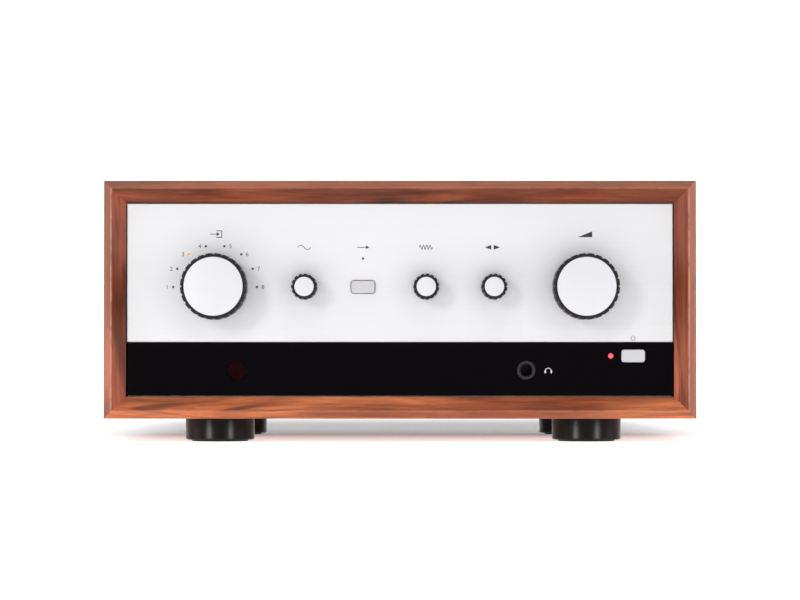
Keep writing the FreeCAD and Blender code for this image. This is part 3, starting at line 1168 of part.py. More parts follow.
def amplifier_board():
    """Main circuit board with relays, small parts and the two ribbon plugs."""
    board = block(AMP_X0, AMP_X1, AMP_Y0, AMP_Y1, AMP_Z, AMP_TOP)
    board = cut_all(board, [rod_z(x, y, SCREW_R + CLEAR_HOLE, AMP_Z - 1, AMP_TOP + 1) for x, y in STANDOFFS])
    half = RIBBON_W / 2 + 2
    plugs = [block(RIBBON_X - half, RIBBON_X + half, AMP_Y0 + 1.0, AMP_Y0 + 8.0, AMP_TOP, AMP_TOP + PLUG_H)]
    half = REAR_RIBBON_W / 2 + 1
    plugs += [block(REAR_RIBBON_X - half, REAR_RIBBON_X + half, AMP_Y1 - 24.0, AMP_Y1 - 17.0, AMP_TOP,
                    AMP_TOP + PLUG_H)]
    relays = [block(AMP_X0 + 4.0, AMP_X0 + 18.0, y, y + 20.0, AMP_TOP, AMP_TOP + 15.0)
              for y in (AMP_Y0 + 22.0, AMP_Y0 + 48.0)]
    save("amplifier_board", board, *plugs, *relays)


CAPACITOR_X = [AMP_X0 + 34.0 + 29.0 * k for k in range(4)]
CAPACITOR_Y = AMP_Y0 + 24.0


def capacitors():
    cans = []
    for x in CAPACITOR_X:
        can = rod_z(x, CAPACITOR_Y, CAPACITOR_R, AMP_TOP, AMP_TOP + CAPACITOR_H)
        rims = [e for e in can.Edges if isinstance(e.Curve, Part.Circle)]
        can = can.makeFillet(0.9, rims)
        z = AMP_TOP + 3.0
        groove = rod_z(x, CAPACITOR_Y, CAPACITOR_R + 1, z, z + 1.2).cut(
            rod_z(x, CAPACITOR_Y, CAPACITOR_R - 0.7, z - 1, z + 2))
        cans.append(can.cut(groove))
    save("capacitors", *cans)


def heatsink():
    """Extruded comb behind the amplifier board, standing on the tray."""
    y0 = AMP_Y1 + 0.3
    y1 = y0 + SINK_BASE
    pitch = (SINK_L - FIN_T) / (FIN_COUNT - 1)
    outline = [(SINK_X0, y0), (SINK_X0 + SINK_L, y0)]
    for k in reversed(range(FIN_COUNT)):
        left = SINK_X0 + pitch * k
        outline += [(left + FIN_T, y1), (left + FIN_T, y1 + FIN_L), (left, y1 + FIN_L), (left, y1)]
    clean = [p for i, p in enumerate(outline) if p != outline[i - 1]]
    comb = prism_z(clean, TRAY_FLOOR, TRAY_FLOOR + SINK_H)
    holes = [rod_y(x, z, SCREW_R + BUSH_RUN, y0 - 1, y1) for x, z in TRANSISTOR_SCREWS]
    save("heatsink", cut_all(comb, holes))


TRANSISTOR_X = [SINK_X0 + 15.0 + 30.0 * k for k in range(4)]
TRANSISTOR_Z = AMP_TOP + 12.0
TRANSISTOR_SCREWS = [(x, TRANSISTOR_Z + 14.0) for x in TRANSISTOR_X]


def transistors():
    """Four output devices screwed to the heatsink, with their legs down to the board."""
    face = AMP_Y1 + 0.3
    pieces = []
    for x, z in TRANSISTOR_SCREWS:
        body = block(x - 7.8, x + 7.8, face - 5.0, face, TRANSISTOR_Z, TRANSISTOR_Z + 20.0)
        body = body.cut(rod_y(x, z, SCREW_R + CLEAR_HOLE, face - 6, face + 1))
        legs = [block(x + dx - 0.6, x + dx + 0.6, face - 3.2, face - 2.4, AMP_TOP, TRANSISTOR_Z + 1.0)
                for dx in (-5.4, 0.0, 5.4)]
        pieces.append(joined([body] + legs))
        pieces.append(joined([rod_y(x, z, SCREW_HEAD_R, face - 5.0 - SCREW_HEAD_H, face - 5.0),
                              rod_y(x, z, SCREW_R, face - 5.0, face + SINK_BASE - 0.6)]))
    save("transistors", *pieces)


def transformer():
    """Toroidal transformer between two rubber pads, held by a dished plate on a central stud."""
    x, y = TOROID_X, TOROID_Y
    z0 = TRAY_FLOOR + TOROID_PAD_T
    z1 = z0 + TOROID_H
    ring = rod_z(x, y, TOROID_R, z0, z1).cut(rod_z(x, y, TOROID_HOLE_R, z0 - 1, z1 + 1))
    ring = ring.makeFillet(7.0, [e for e in ring.Edges if isinstance(e.Curve, Part.Circle)])
    stud_r = 3.0
    pads = [rod_z(x, y, 42.0, z, z + TOROID_PAD_T).cut(rod_z(x, y, 8.0, z - 1, z + 9)) for z in (TRAY_FLOOR, z1)]
    dish = spun_z(x, y, [(stud_r + 0.2, z1 - 6.0), (14.0, z1 - 6.0), (19.0, z1 + TOROID_PAD_T), (40.0, z1 + TOROID_PAD_T),
                         (40.0, z1 + TOROID_PAD_T + 1.5), (18.2, z1 + TOROID_PAD_T + 1.5), (13.2, z1 - 4.5),
                         (stud_r + 0.2, z1 - 4.5)])
    pads[1] = pads[1].cut(rod_z(x, y, 20.0, z1 - 1, z1 + 9))
    stud = rod_z(x, y, stud_r, TRAY_FLOOR, z1 + 6.0)
    nut = nut_z(x, y, 10.0, stud_r + BUSH_RUN, z1 - 4.5, z1 + 0.5)
    save("transformer", ring, *pads, dish, stud, nut)


def wiring():
    """Two ribbon cables and the mains leads."""
    pieces = [
        ribbon(RIBBON_X, RIBBON_W, Y_FRONT_PCB + PCB_T + 6.0, AMP_Y0 + 4.5, AMP_TOP + PLUG_H),
        ribbon(REAR_RIBBON_X, REAR_RIBBON_W, Y_INPUT_PCB - PCB_T - 6.0, AMP_Y1 - 20.5, AMP_TOP + PLUG_H),
    ]
    tab_y = Y_REAR_IN - INLET_BODY_D - 6.0
    switch_y = Y_REAR - 26.0
    for dx, tab in ((-7.0, -6.0), (7.0, 6.0)):
        start, end = V(INLET_X + dx, tab_y, CAVITY_Z - 2.0), V(INLET_X, switch_y, SWITCH_Z + tab)
        out = min(tab_y, switch_y) - 16.0
        pieces.append(lead([start, V(start.x, out, start.z), V(end.x, out, end.z), end], 1.1, 6.0))
    start = V(INLET_X, tab_y, CAVITY_Z + 2.0)
    toroid_top = TRAY_FLOOR + TOROID_PAD_T + TOROID_H
    end = V(TOROID_X + 4.0, TOROID_Y + TOROID_R - 9.0, toroid_top)
    past = min(tab_y, switch_y) - 26.0
    pieces.append(lead([start, V(start.x, past, start.z), V(end.x, end.y, toroid_top + 12.0), end], 1.1, 4.0))
    save("wiring", *pieces)


# ---------------------------------------------------------------- build
os.makedirs("parts", exist_ok=True)
case_boards()
feet()
fasteners()
chassis_tray()
chassis_lid()
front_subpanel()
front_plates()
rear_panel()
knobs()
potentiometers()
buttons()
lamps()
remote_window()
headphone_socket()
front_board()
phono_sockets()
digital_sockets()
input_board()
terminals()
mains_inlet()
fuse_drawer()
mains_switch()
mains_rocker()
amplifier_board()
capacitors()
heatsink()
transistors()
transformer()
wiring()
print("nodes", len([name for name in os.listdir("parts") if name.endswith(".step")]), "depth", TOTAL_D)
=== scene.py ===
import math

import bmesh
import bpy
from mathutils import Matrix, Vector


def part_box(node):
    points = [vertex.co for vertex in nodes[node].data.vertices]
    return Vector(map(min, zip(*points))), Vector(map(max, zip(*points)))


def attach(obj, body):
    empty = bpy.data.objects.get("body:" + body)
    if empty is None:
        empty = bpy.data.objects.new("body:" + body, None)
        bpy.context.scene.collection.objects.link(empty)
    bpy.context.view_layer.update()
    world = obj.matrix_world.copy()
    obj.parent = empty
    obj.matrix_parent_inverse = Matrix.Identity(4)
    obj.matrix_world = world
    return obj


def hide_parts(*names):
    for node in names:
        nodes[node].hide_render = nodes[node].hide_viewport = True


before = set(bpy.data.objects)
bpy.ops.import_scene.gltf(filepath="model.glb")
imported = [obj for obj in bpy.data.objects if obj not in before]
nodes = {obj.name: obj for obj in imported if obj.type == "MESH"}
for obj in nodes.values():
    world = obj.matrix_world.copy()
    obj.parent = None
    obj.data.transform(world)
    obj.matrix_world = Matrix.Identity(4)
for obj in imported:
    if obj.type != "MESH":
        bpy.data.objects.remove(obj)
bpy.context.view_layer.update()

# Looks of an integrated amplifier: mitred walnut case, pale faceplate over a black strip, fluted controls,
# and a black rear panel of gold sockets. Metres, +Z up, the front faces -Y.
MM = 0.001
# the front ridge of the walnut case: its depth, its distance from the middle sideways, and the height of the
# case's middle with the ridge's distance above and below it
RIDGE_Y = -0.1262
RIDGE_X = 0.1587
CASE_MID = 0.0785
RIDGE_UP = 0.0612
QUARTER = math.pi / 2
scene = bpy.context.scene


# ------------------------------------------------------------------ node building
class Bench:
    """Adds nodes to one tree; an input given as a socket is linked, anything else is set on the node."""

    def __init__(self, tree):
        self.tree = tree

    def put(self, node, key, value):
        if isinstance(value, bpy.types.NodeSocket):
            self.tree.links.new(value, node.inputs[key])
        else:
            node.inputs[key].default_value = value

    def node(self, kind, inputs=None, **settings):
        made = self.tree.nodes.new(kind)
        for key, value in settings.items():
            setattr(made, key, value)
        for key, value in (inputs or {}).items():
            self.put(made, key, value)
        return made

    def math(self, operation, a, b=None, clamp=False):
        inputs = {k: v for k, v in enumerate((a, b)) if v is not None}
        return self.node("ShaderNodeMath", inputs, operation=operation, use_clamp=clamp).outputs[0]

    def vector(self, operation, a, b=None):
        inputs = {k: v for k, v in enumerate((a, b)) if v is not None}
        made = self.node("ShaderNodeVectorMath", inputs, operation=operation)
        return made.outputs["Value" if operation == "LENGTH" else "Vector"]

    def noise(self, place, scale, detail=2.0, rough=0.5, twist=0.0):
        return self.node("ShaderNodeTexNoise", {"Vector": place, "Scale": scale, "Detail": detail,
                                                "Roughness": rough, "Distortion": twist}).outputs["Fac"]

    def step(self, value, low, high, to_low=0.0, to_high=1.0):
        """Smooth step from low to high."""
        inputs = {"Value": value, "From Min": low, "From Max": high, "To Min": to_low, "To Max": to_high}
        return self.node("ShaderNodeMapRange", inputs, interpolation_type="SMOOTHSTEP").outputs[0]

    def tint(self, share, first, second, blend="MIX"):
        mix = self.node("ShaderNodeMix", data_type="RGBA", blend_type=blend, clamp_factor=True)
        for key, value in ((0, share), (6, first), (7, second)):
            self.put(mix, key, value)
        return mix.outputs[2]


def new_group(name, inputs, outputs, kind="ShaderNodeTree"):
    """Node group with named sockets: inputs as (name, kind, value), outputs as (name, kind)."""
    group = bpy.data.node_groups.new(name, kind)
    for label, socket, value in inputs:
        made = group.interface.new_socket(label, in_out="INPUT", socket_type=socket)
        if value is not None:
            made.default_value = value
    for label, socket in outputs:
        group.interface.new_socket(label, in_out="OUTPUT", socket_type=socket)
    bench = Bench(group)
    return group, bench, bench.node("NodeGroupInput").outputs, bench.node("NodeGroupOutput")


FLOAT, COLOUR, VECTOR = "NodeSocketFloat", "NodeSocketColor", "NodeSocketVector"


# ------------------------------------------------------------------ shared surface effects
def make_wood_grain():
    """Grain that runs along X: broad figure, growth lines, fibres and pores."""
    group, b, given, out = new_group("wood grain", [
        ("Place", VECTOR, None),
        ("Light", COLOUR, (0.5, 0.3, 0.2, 1)),
        ("Middle", COLOUR, (0.3, 0.15, 0.1, 1)),
        ("Dark", COLOUR, (0.1, 0.05, 0.03, 1)),
        ("Figure", FLOAT, 1.0)],
        [("Colour", COLOUR), ("Roughness", FLOAT), ("Height", FLOAT)])
    place = given["Place"]
    broad = b.noise(b.vector("MULTIPLY", place, (7.0, 34.0, 34.0)), 1.0, 3.0, 0.55, 0.9)
    drift = b.noise(b.vector("MULTIPLY", place, (3.2, 24.0, 24.0)), 1.0, 2.0, 0.5, 0.5)
    wave = b.math("SINE", b.math("MULTIPLY", drift, 62.0))
    lines = b.step(wave, 0.45, 1.0)
    faint = b.step(b.noise(b.vector("MULTIPLY", place, (5.0, 60.0, 60.0)), 1.0, 2.0), 0.36, 0.60)
    fibre = b.noise(b.vector("MULTIPLY", place, (55.0, 950.0, 950.0)), 1.0, 3.0, 0.6)
    streak = b.noise(b.vector("MULTIPLY", place, (18.0, 260.0, 260.0)), 1.0, 3.0, 0.6)
    pore = b.step(b.noise(b.vector("MULTIPLY", place, (210.0, 2600.0, 2600.0)), 1.0, 1.0), 0.64, 0.74)
    colour = b.tint(b.step(broad, 0.34, 0.66), given["Middle"], given["Light"])
    colour = b.tint(b.math("MULTIPLY", b.math("MULTIPLY", lines, faint), 0.7), colour, given["Dark"])
    dark = b.step(b.noise(b.vector("MULTIPLY", place, (4.0, 19.0, 19.0)), 1.0, 2.0, 0.5, 1.6), 0.60, 0.76)
    dark = b.math("MULTIPLY", dark, b.math("MULTIPLY", given["Figure"], 0.55))
    colour = b.tint(dark, colour, given["Dark"])
    shade = b.math("ADD", b.math("MULTIPLY", fibre, 0.36), b.math("MULTIPLY", streak, 0.44))
    shade = b.step(shade, 0.26, 0.54, 0.58, 1.22)
    grey = b.node("ShaderNodeCombineXYZ", {0: shade, 1: shade, 2: shade}).outputs[0]
    colour = b.tint(1.0, colour, grey, "MULTIPLY")
    colour = b.tint(b.math("MULTIPLY", pore, 0.5), colour, given["Dark"])
    b.put(out, "Colour", colour)
    b.put(out, "Roughness", b.math("ADD", 0.36, b.math("MULTIPLY", fibre, 0.22)))
    hollow = b.math("ADD", b.math("MULTIPLY", pore, -0.7), b.math("MULTIPLY", streak, 0.3))
    b.put(out, "Height", b.math("ADD", b.math("MULTIPLY", fibre, 0.5), hollow))
    return group


def make_handling():
    """Uneven gloss left by hands and wiping: a base roughness with soft patches and fine streaks."""
    group, b, given, out = new_group("handling", [
        ("Place", VECTOR, None), ("Base", FLOAT, 0.4), ("Spread", FLOAT, 0.1), ("Scale", FLOAT, 30.0)],
        [("Roughness", FLOAT), ("Mask", FLOAT)])
    patch = b.noise(given["Place"], given["Scale"], 4.0, 0.6, 0.4)
    fine = b.noise(given["Place"], b.math("MULTIPLY", given["Scale"], 14.0), 3.0, 0.6)
    mask = b.math("ADD", b.math("MULTIPLY", patch, 0.7), b.math("MULTIPLY", fine, 0.3))
    swing = b.math("MULTIPLY", b.math("SUBTRACT", mask, 0.5), b.math("MULTIPLY", given["Spread"], 2.0))
    b.put(out, "Roughness", b.math("ADD", given["Base"], swing, clamp=True))
    b.put(out, "Mask", b.step(mask, 0.35, 0.65))
    return group


def make_grit():
    """Height of a powder coat, blasted metal or moulded plastic."""
    group, b, given, out = new_group("grit", [("Place", VECTOR, None), ("Scale", FLOAT, 900.0)],
                                     [("Height", FLOAT)])
    cells = b.node("ShaderNodeTexVoronoi", {"Vector": given["Place"], "Scale": given["Scale"]})
    soft = b.noise(given["Place"], b.math("MULTIPLY", given["Scale"], 0.6), 2.0)
    grains = b.math("MULTIPLY", cells.outputs["Distance"], 0.6)
    b.put(out, "Height", b.math("ADD", grains, b.math("MULTIPLY", soft, 0.5)))
    return group


def make_turning():
    """Rings left by a lathe round the Y axis of the given place."""
    group, b, given, out = new_group("turning", [("Place", VECTOR, None), ("Rings", FLOAT, 1800.0)],
                                     [("Height", FLOAT), ("Tone", FLOAT)])
    flat = b.vector("MULTIPLY", given["Place"], (1.0, 0.0, 1.0))
    radius = b.vector("LENGTH", flat)
    ring_place = b.node("ShaderNodeCombineXYZ", {0: radius, 1: 0.0, 2: 0.0}).outputs[0]
    rings = b.noise(ring_place, given["Rings"], 3.0, 0.7)
    slow = b.noise(given["Place"], 60.0, 2.0)
    b.put(out, "Height", rings)
    b.put(out, "Tone", b.math("ADD", b.math("MULTIPLY", rings, 0.7), b.math("MULTIPLY", slow, 0.3)))
    return group


def make_brushing():
    """Fine lines along X of the given place."""
    group, b, given, out = new_group("brushing", [("Place", VECTOR, None)],
                                     [("Height", FLOAT), ("Tone", FLOAT)])
    hair = b.noise(b.vector("MULTIPLY", given["Place"], (22.0, 2600.0, 2600.0)), 1.0, 3.0, 0.7)
    wide = b.noise(b.vector("MULTIPLY", given["Place"], (6.0, 500.0, 500.0)), 1.0, 2.0)
    b.put(out, "Height", hair)
    b.put(out, "Tone", b.math("ADD", b.math("MULTIPLY", hair, 0.6), b.math("MULTIPLY", wide, 0.4)))
    return group


wood_grain = make_wood_grain()
handling = make_handling()
grit = make_grit()
turning = make_turning()
brushing = make_brushing()


# ------------------------------------------------------------------ materials
class Finish(Bench):
    """A material: its Principled shader and the place that its patterns read."""

    def __init__(self, name, **values):
        self.material = bpy.data.materials.new(name)
        self.material.use_nodes = True
        super().__init__(self.material.node_tree)
        self.shader = self.tree.nodes["Principled BSDF"]
        for key, value in values.items():
            self.shader.inputs[key.replace("_", " ")].default_value = value
        self.place = self.node("ShaderNodeTexCoord").outputs["Object"]

    def mapped(self, location, rotation=(0, 0, 0)):
        inputs = {"Vector": self.place, "Location": location, "Rotation": rotation}
        return self.node("ShaderNodeMapping", inputs).outputs[0]

    def effect(self, group, **inputs):
        made = self.node("ShaderNodeGroup", node_tree=group)
        for key, value in inputs.items():
            self.put(made, key, value)
        return made.outputs

    def bump(self, height, distance, strength=1.0):
        made = self.node("ShaderNodeBump", {"Height": height, "Distance": distance, "Strength": strength})
        self.put(self.shader, "Normal", made.outputs[0])

    def rough(self, base, spread, scale=30.0):
        made = self.effect(handling, Place=self.place, Base=base, Spread=spread, Scale=scale)
        self.put(self.shader, "Roughness", made["Roughness"])
        return made["Mask"]

    def colour(self, share, first, second):
        self.put(self.shader, "Base Color", self.tint(share, first, second))


def rgb(red, green, blue):
    """Colour from the usual 0 to 255 scale."""
    def linear(value):
        value /= 255
        return value / 12.92 if value <= 0.04045 else ((value + 0.055) / 1.055) ** 2.4
    return (linear(red), linear(green), linear(blue), 1.0)


def shaded(colour, share):
    """The same colour with its light multiplied by a share."""
    return tuple(v * share for v in colour[:3]) + (1.0,)


def walnut(name, turn, shift, figure, light, middle, ridge, rim):
    """Lacquered walnut; rim is the share of painted light that tints the outer bevel paler, and ridge the
    share of a patchy painted highlight along the front ridge; turn brings the board's length onto X.
    """
    made = Finish(name, Coat_Weight=0.04, Coat_Roughness=0.35, IOR=1.4, Specular_IOR_Level=0.28)
    grain = made.effect(wood_grain, Place=made.mapped(shift, turn), Light=light, Middle=middle,
                        Dark=rgb(66, 32, 22), Figure=figure)
    side, depth, high = made.node("ShaderNodeSeparateXYZ", {0: made.place}).outputs
    # painted light: the outer bevel in front of the ridge is tinted paler, by a share of rim, for light
    # falling on it from the sides and the floor
    sideways = made.math("SUBTRACT", made.math("ABSOLUTE", side), RIDGE_X)
    upward = made.math("ABSOLUTE", made.math("SUBTRACT", high, CASE_MID))
    outward = made.math("MAXIMUM", sideways, made.math("SUBTRACT", upward, RIDGE_UP))
    front = made.step(depth, RIDGE_Y + 0.007, RIDGE_Y + 0.005)
    painted_bevel_light = made.math("MULTIPLY", front, made.step(outward, -0.0004, 0.0006, 0.0, rim))
    wood = made.tint(painted_bevel_light, grain["Colour"], rgb(224, 158, 130))
    # painted highlight: a thin pale band along the front ridge, broken into patches, by a share of ridge
    wear_and_ridge_highlight = made.step(depth, RIDGE_Y + 0.0007, RIDGE_Y + 0.0001)
    highlight_patches = made.step(made.noise(made.place, 160.0, 3.0), 0.3, 0.6, 0.45 * ridge, ridge)
    made.colour(made.math("MULTIPLY", wear_and_ridge_highlight, highlight_patches), wood, rgb(206, 142, 122))
    made.put(made.shader, "Roughness", grain["Roughness"])
    made.bump(grain["Height"], 0.00006, 0.6)
    return made.material


def metal(name, colour, rough=0.35, spread=0.08, metallic=1.0, grit_scale=0.0, grit_depth=0.00001,
          scale=60.0):
    """Bare, plated or blacked metal with darker patches; a grit scale adds a blasted surface."""
    made = Finish(name, Metallic=metallic)
    mask = made.rough(rough, spread, scale)
    made.colour(mask, colour, shaded(colour, 0.86))
    if grit_scale:
        made.bump(made.effect(grit, Place=made.place, Scale=grit_scale)["Height"], grit_depth, 0.6)
    return made.material


def plastic(name, colour, rough=0.4, spread=0.1, grit_scale=1400.0, grit_depth=0.00001, wear_and_ridge_highlight=0.8, shine=0.5):
    """Moulded plastic, paint or rubber; worn multiplies the light of its handled patches."""
    made = Finish(name, Specular_IOR_Level=shine)
    mask = made.rough(rough, spread, 45.0)
    made.colour(mask, colour, shaded(colour, wear_and_ridge_highlight))
    if grit_depth:
        made.bump(made.effect(grit, Place=made.place, Scale=grit_scale)["Height"], grit_depth, 0.5)
    return made.material


def turned_black(name, colour):
    """Turned and blacked metal: fine rings round an upright axis draw each light out upwards."""
    made = Finish(name, Anisotropic=0.9, Specular_IOR_Level=0.2)
    mask = made.rough(0.42, 0.05)
    made.colour(mask, colour, shaded(colour, 0.8))
    made.put(made.shader, "Tangent", made.node("ShaderNodeCombineXYZ", {2: 1.0}).outputs[0])
    made.bump(made.effect(grit, Place=made.place, Scale=2200.0)["Height"], 0.000002, 0.5)
    return made.material


def silver_sheet(name, rings_at=None, colour=rgb(222, 222, 225)):
    """Pale anodised aluminium: fine lines along X, or lathe rings round the middle of a knob's face."""
    made = Finish(name, Metallic=0.18, IOR=1.6)
    if rings_at is None:
        grain = made.effect(brushing, Place=made.place)
        depth = 0.000002
    else:
        grain = made.effect(turning, Place=made.mapped(tuple(-v for v in rings_at)), Rings=1500.0)
        depth = 0.000004
    made.rough(0.46, 0.05, 40.0)
    shade = made.step(grain["Tone"], 0.3, 0.7)
    made.colour(shade, shaded(colour, 0.975), colour)
    made.bump(grain["Height"], depth, 0.5)
    return made.material


def lamp(name, colour, strength):
    """Moulded lamp: brighter in patches, as a lens over a light."""
    made = Finish(name, Roughness=0.25, Emission_Strength=strength)
    mask = made.effect(handling, Place=made.place, Base=0.2, Spread=0.1, Scale=700.0)
    made.put(made.shader, "Roughness", mask["Roughness"])
    dim = shaded(colour, 0.8)
    made.colour(mask["Mask"], colour, dim)
    made.put(made.shader, "Emission Color", made.tint(mask["Mask"], colour, dim))
    return made.material


LYING, STANDING = (0, 0, 0), (0, QUARTER, 0)
# ridge and rim set each board's share of painted highlight on the ridge and painted light on the outer bevel
walnut_top = walnut("walnut top", LYING, (0.31, 0.07, 0.0), figure=1.0,
                    light=rgb(152, 78, 48), middle=rgb(102, 47, 28), ridge=0.2, rim=0.2)
# painted light: the base board's colours are paler, partly its own tone and partly for light bounced up onto
# it from the floor
walnut_base = walnut("walnut base", LYING, (1.93, 0.4, 0.35), figure=1.0,
                     light=rgb(202, 114, 70), middle=rgb(144, 71, 39), ridge=0.3, rim=0.06)
walnut_left = walnut("walnut left", STANDING, (0.73, 0.2, 0.5), figure=0.8,
                     light=rgb(156, 80, 52), middle=rgb(106, 44, 25), ridge=0.8, rim=0.13)
walnut_right = walnut("walnut right", STANDING, (2.45, 0.9, 1.3), figure=0.9,
                      light=rgb(180, 96, 60), middle=rgb(128, 59, 34), ridge=0.8, rim=0.2)
plate_silver = silver_sheet("plate silver")
gloss_black = plastic("gloss black", rgb(9, 7, 10), 0.34, 0.06, grit_depth=0.0, wear_and_ridge_highlight=0.9, shine=0.02)
foot_black = turned_black("foot black", rgb(8, 6, 6))
ring_dark = metal("ring dark", rgb(24, 17, 22), 0.5, 0.08, 0.4, 2600.0, 0.000004)
button_grey = plastic("button grey", rgb(198, 196, 201), 0.4, 0.07, 2400.0, 0.000004, wear_and_ridge_highlight=0.97, shine=0.3)
pad_rubber = plastic("pad rubber", rgb(26, 26, 27), 0.78, 0.08, 1500.0, 0.00003, wear_and_ridge_highlight=1.6)
zinc_steel = metal("zinc steel", rgb(178, 180, 182), 0.36, 0.12, 1.0, 500.0, 0.000006, 25.0)
rear_paint = plastic("rear paint", rgb(30, 30, 32), 0.52, 0.08, 1700.0, 0.00004, wear_and_ridge_highlight=1.25)
screw_steel = metal("screw steel", rgb(150, 150, 152), 0.3, 0.12)
rim_grey = metal("rim grey", rgb(118, 112, 114), 0.35, 0.1, 0.8)
satin_black = plastic("satin black", rgb(24, 24, 25), 0.42, 0.08, 1800.0, 0.000012, wear_and_ridge_highlight=1.2)
gold_plate = metal("gold plate", rgb(226, 178, 96), 0.2, 0.1)
nickel_plate = metal("nickel plate", rgb(188, 184, 174), 0.24, 0.1)
red_plastic = plastic("red plastic", rgb(176, 22, 24), 0.34, 0.08, 1800.0, 0.00001, wear_and_ridge_highlight=0.85)
white_plastic = plastic("white plastic", rgb(222, 220, 214), 0.36, 0.08, 1800.0, 0.00001, wear_and_ridge_highlight=0.95)
orange_plastic = plastic("orange plastic", rgb(214, 104, 26), 0.36, 0.08, 1800.0, 0.00001, wear_and_ridge_highlight=0.9)
board_green = plastic("board green", rgb(16, 74, 46), 0.34, 0.1, 700.0, 0.00002, wear_and_ridge_highlight=0.8)
can_black = plastic("can black", rgb(28, 30, 36), 0.32, 0.08, 900.0, 0.000004)
sink_black = metal("sink black", rgb(40, 40, 42), 0.42, 0.1, 0.8, 1500.0, 0.000004)
wire_grey = plastic("wire grey", rgb(150, 150, 154), 0.5, 0.06)
window_red = plastic("window red", rgb(26, 5, 6), 0.14, 0.04, grit_depth=0.0, wear_and_ridge_highlight=0.55, shine=0.03)
dull_lamp = plastic("dull lamp", rgb(66, 64, 68), 0.3, 0.05, grit_depth=0.0)
amber_lamp = lamp("amber lamp", rgb(240, 150, 48), 0.75)
red_lamp = lamp("red lamp", rgb(240, 78, 88), 1.1)
ink_black = plastic("ink black", rgb(38, 36, 40), 0.5, 0.05, grit_depth=0.0)
ink_white = plastic("ink white", rgb(236, 236, 238), 0.5, 0.05, grit_depth=0.0)


def make_winding():
    """Lacquered copper turns under clear tape, round a vertical axis."""
    made = Finish("copper winding", Metallic=0.55)
    lo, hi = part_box("transformer")
    local = made.mapped(tuple(-(lo[k] + hi[k]) / 2 for k in range(3)))
    parts = made.node("ShaderNodeSeparateXYZ", {0: local}).outputs
    angle = made.math("ARCTAN2", parts[1], parts[0])
    turns = made.math("SINE", made.math("MULTIPLY", angle, 260.0))
    made.colour(made.step(turns, -0.9, 0.6), rgb(70, 30, 12), rgb(196, 104, 44))
    made.rough(0.4, 0.1)
    made.bump(turns, 0.0003, 0.8)
    return made.material


copper_winding = make_winding()


# ------------------------------------------------------------------ turned pieces
SEAM_GAP = 1e-6          # points this close, in metres, are one point
SHARP_EDGE = 35.0        # degrees; a smaller bend between faces is smooth


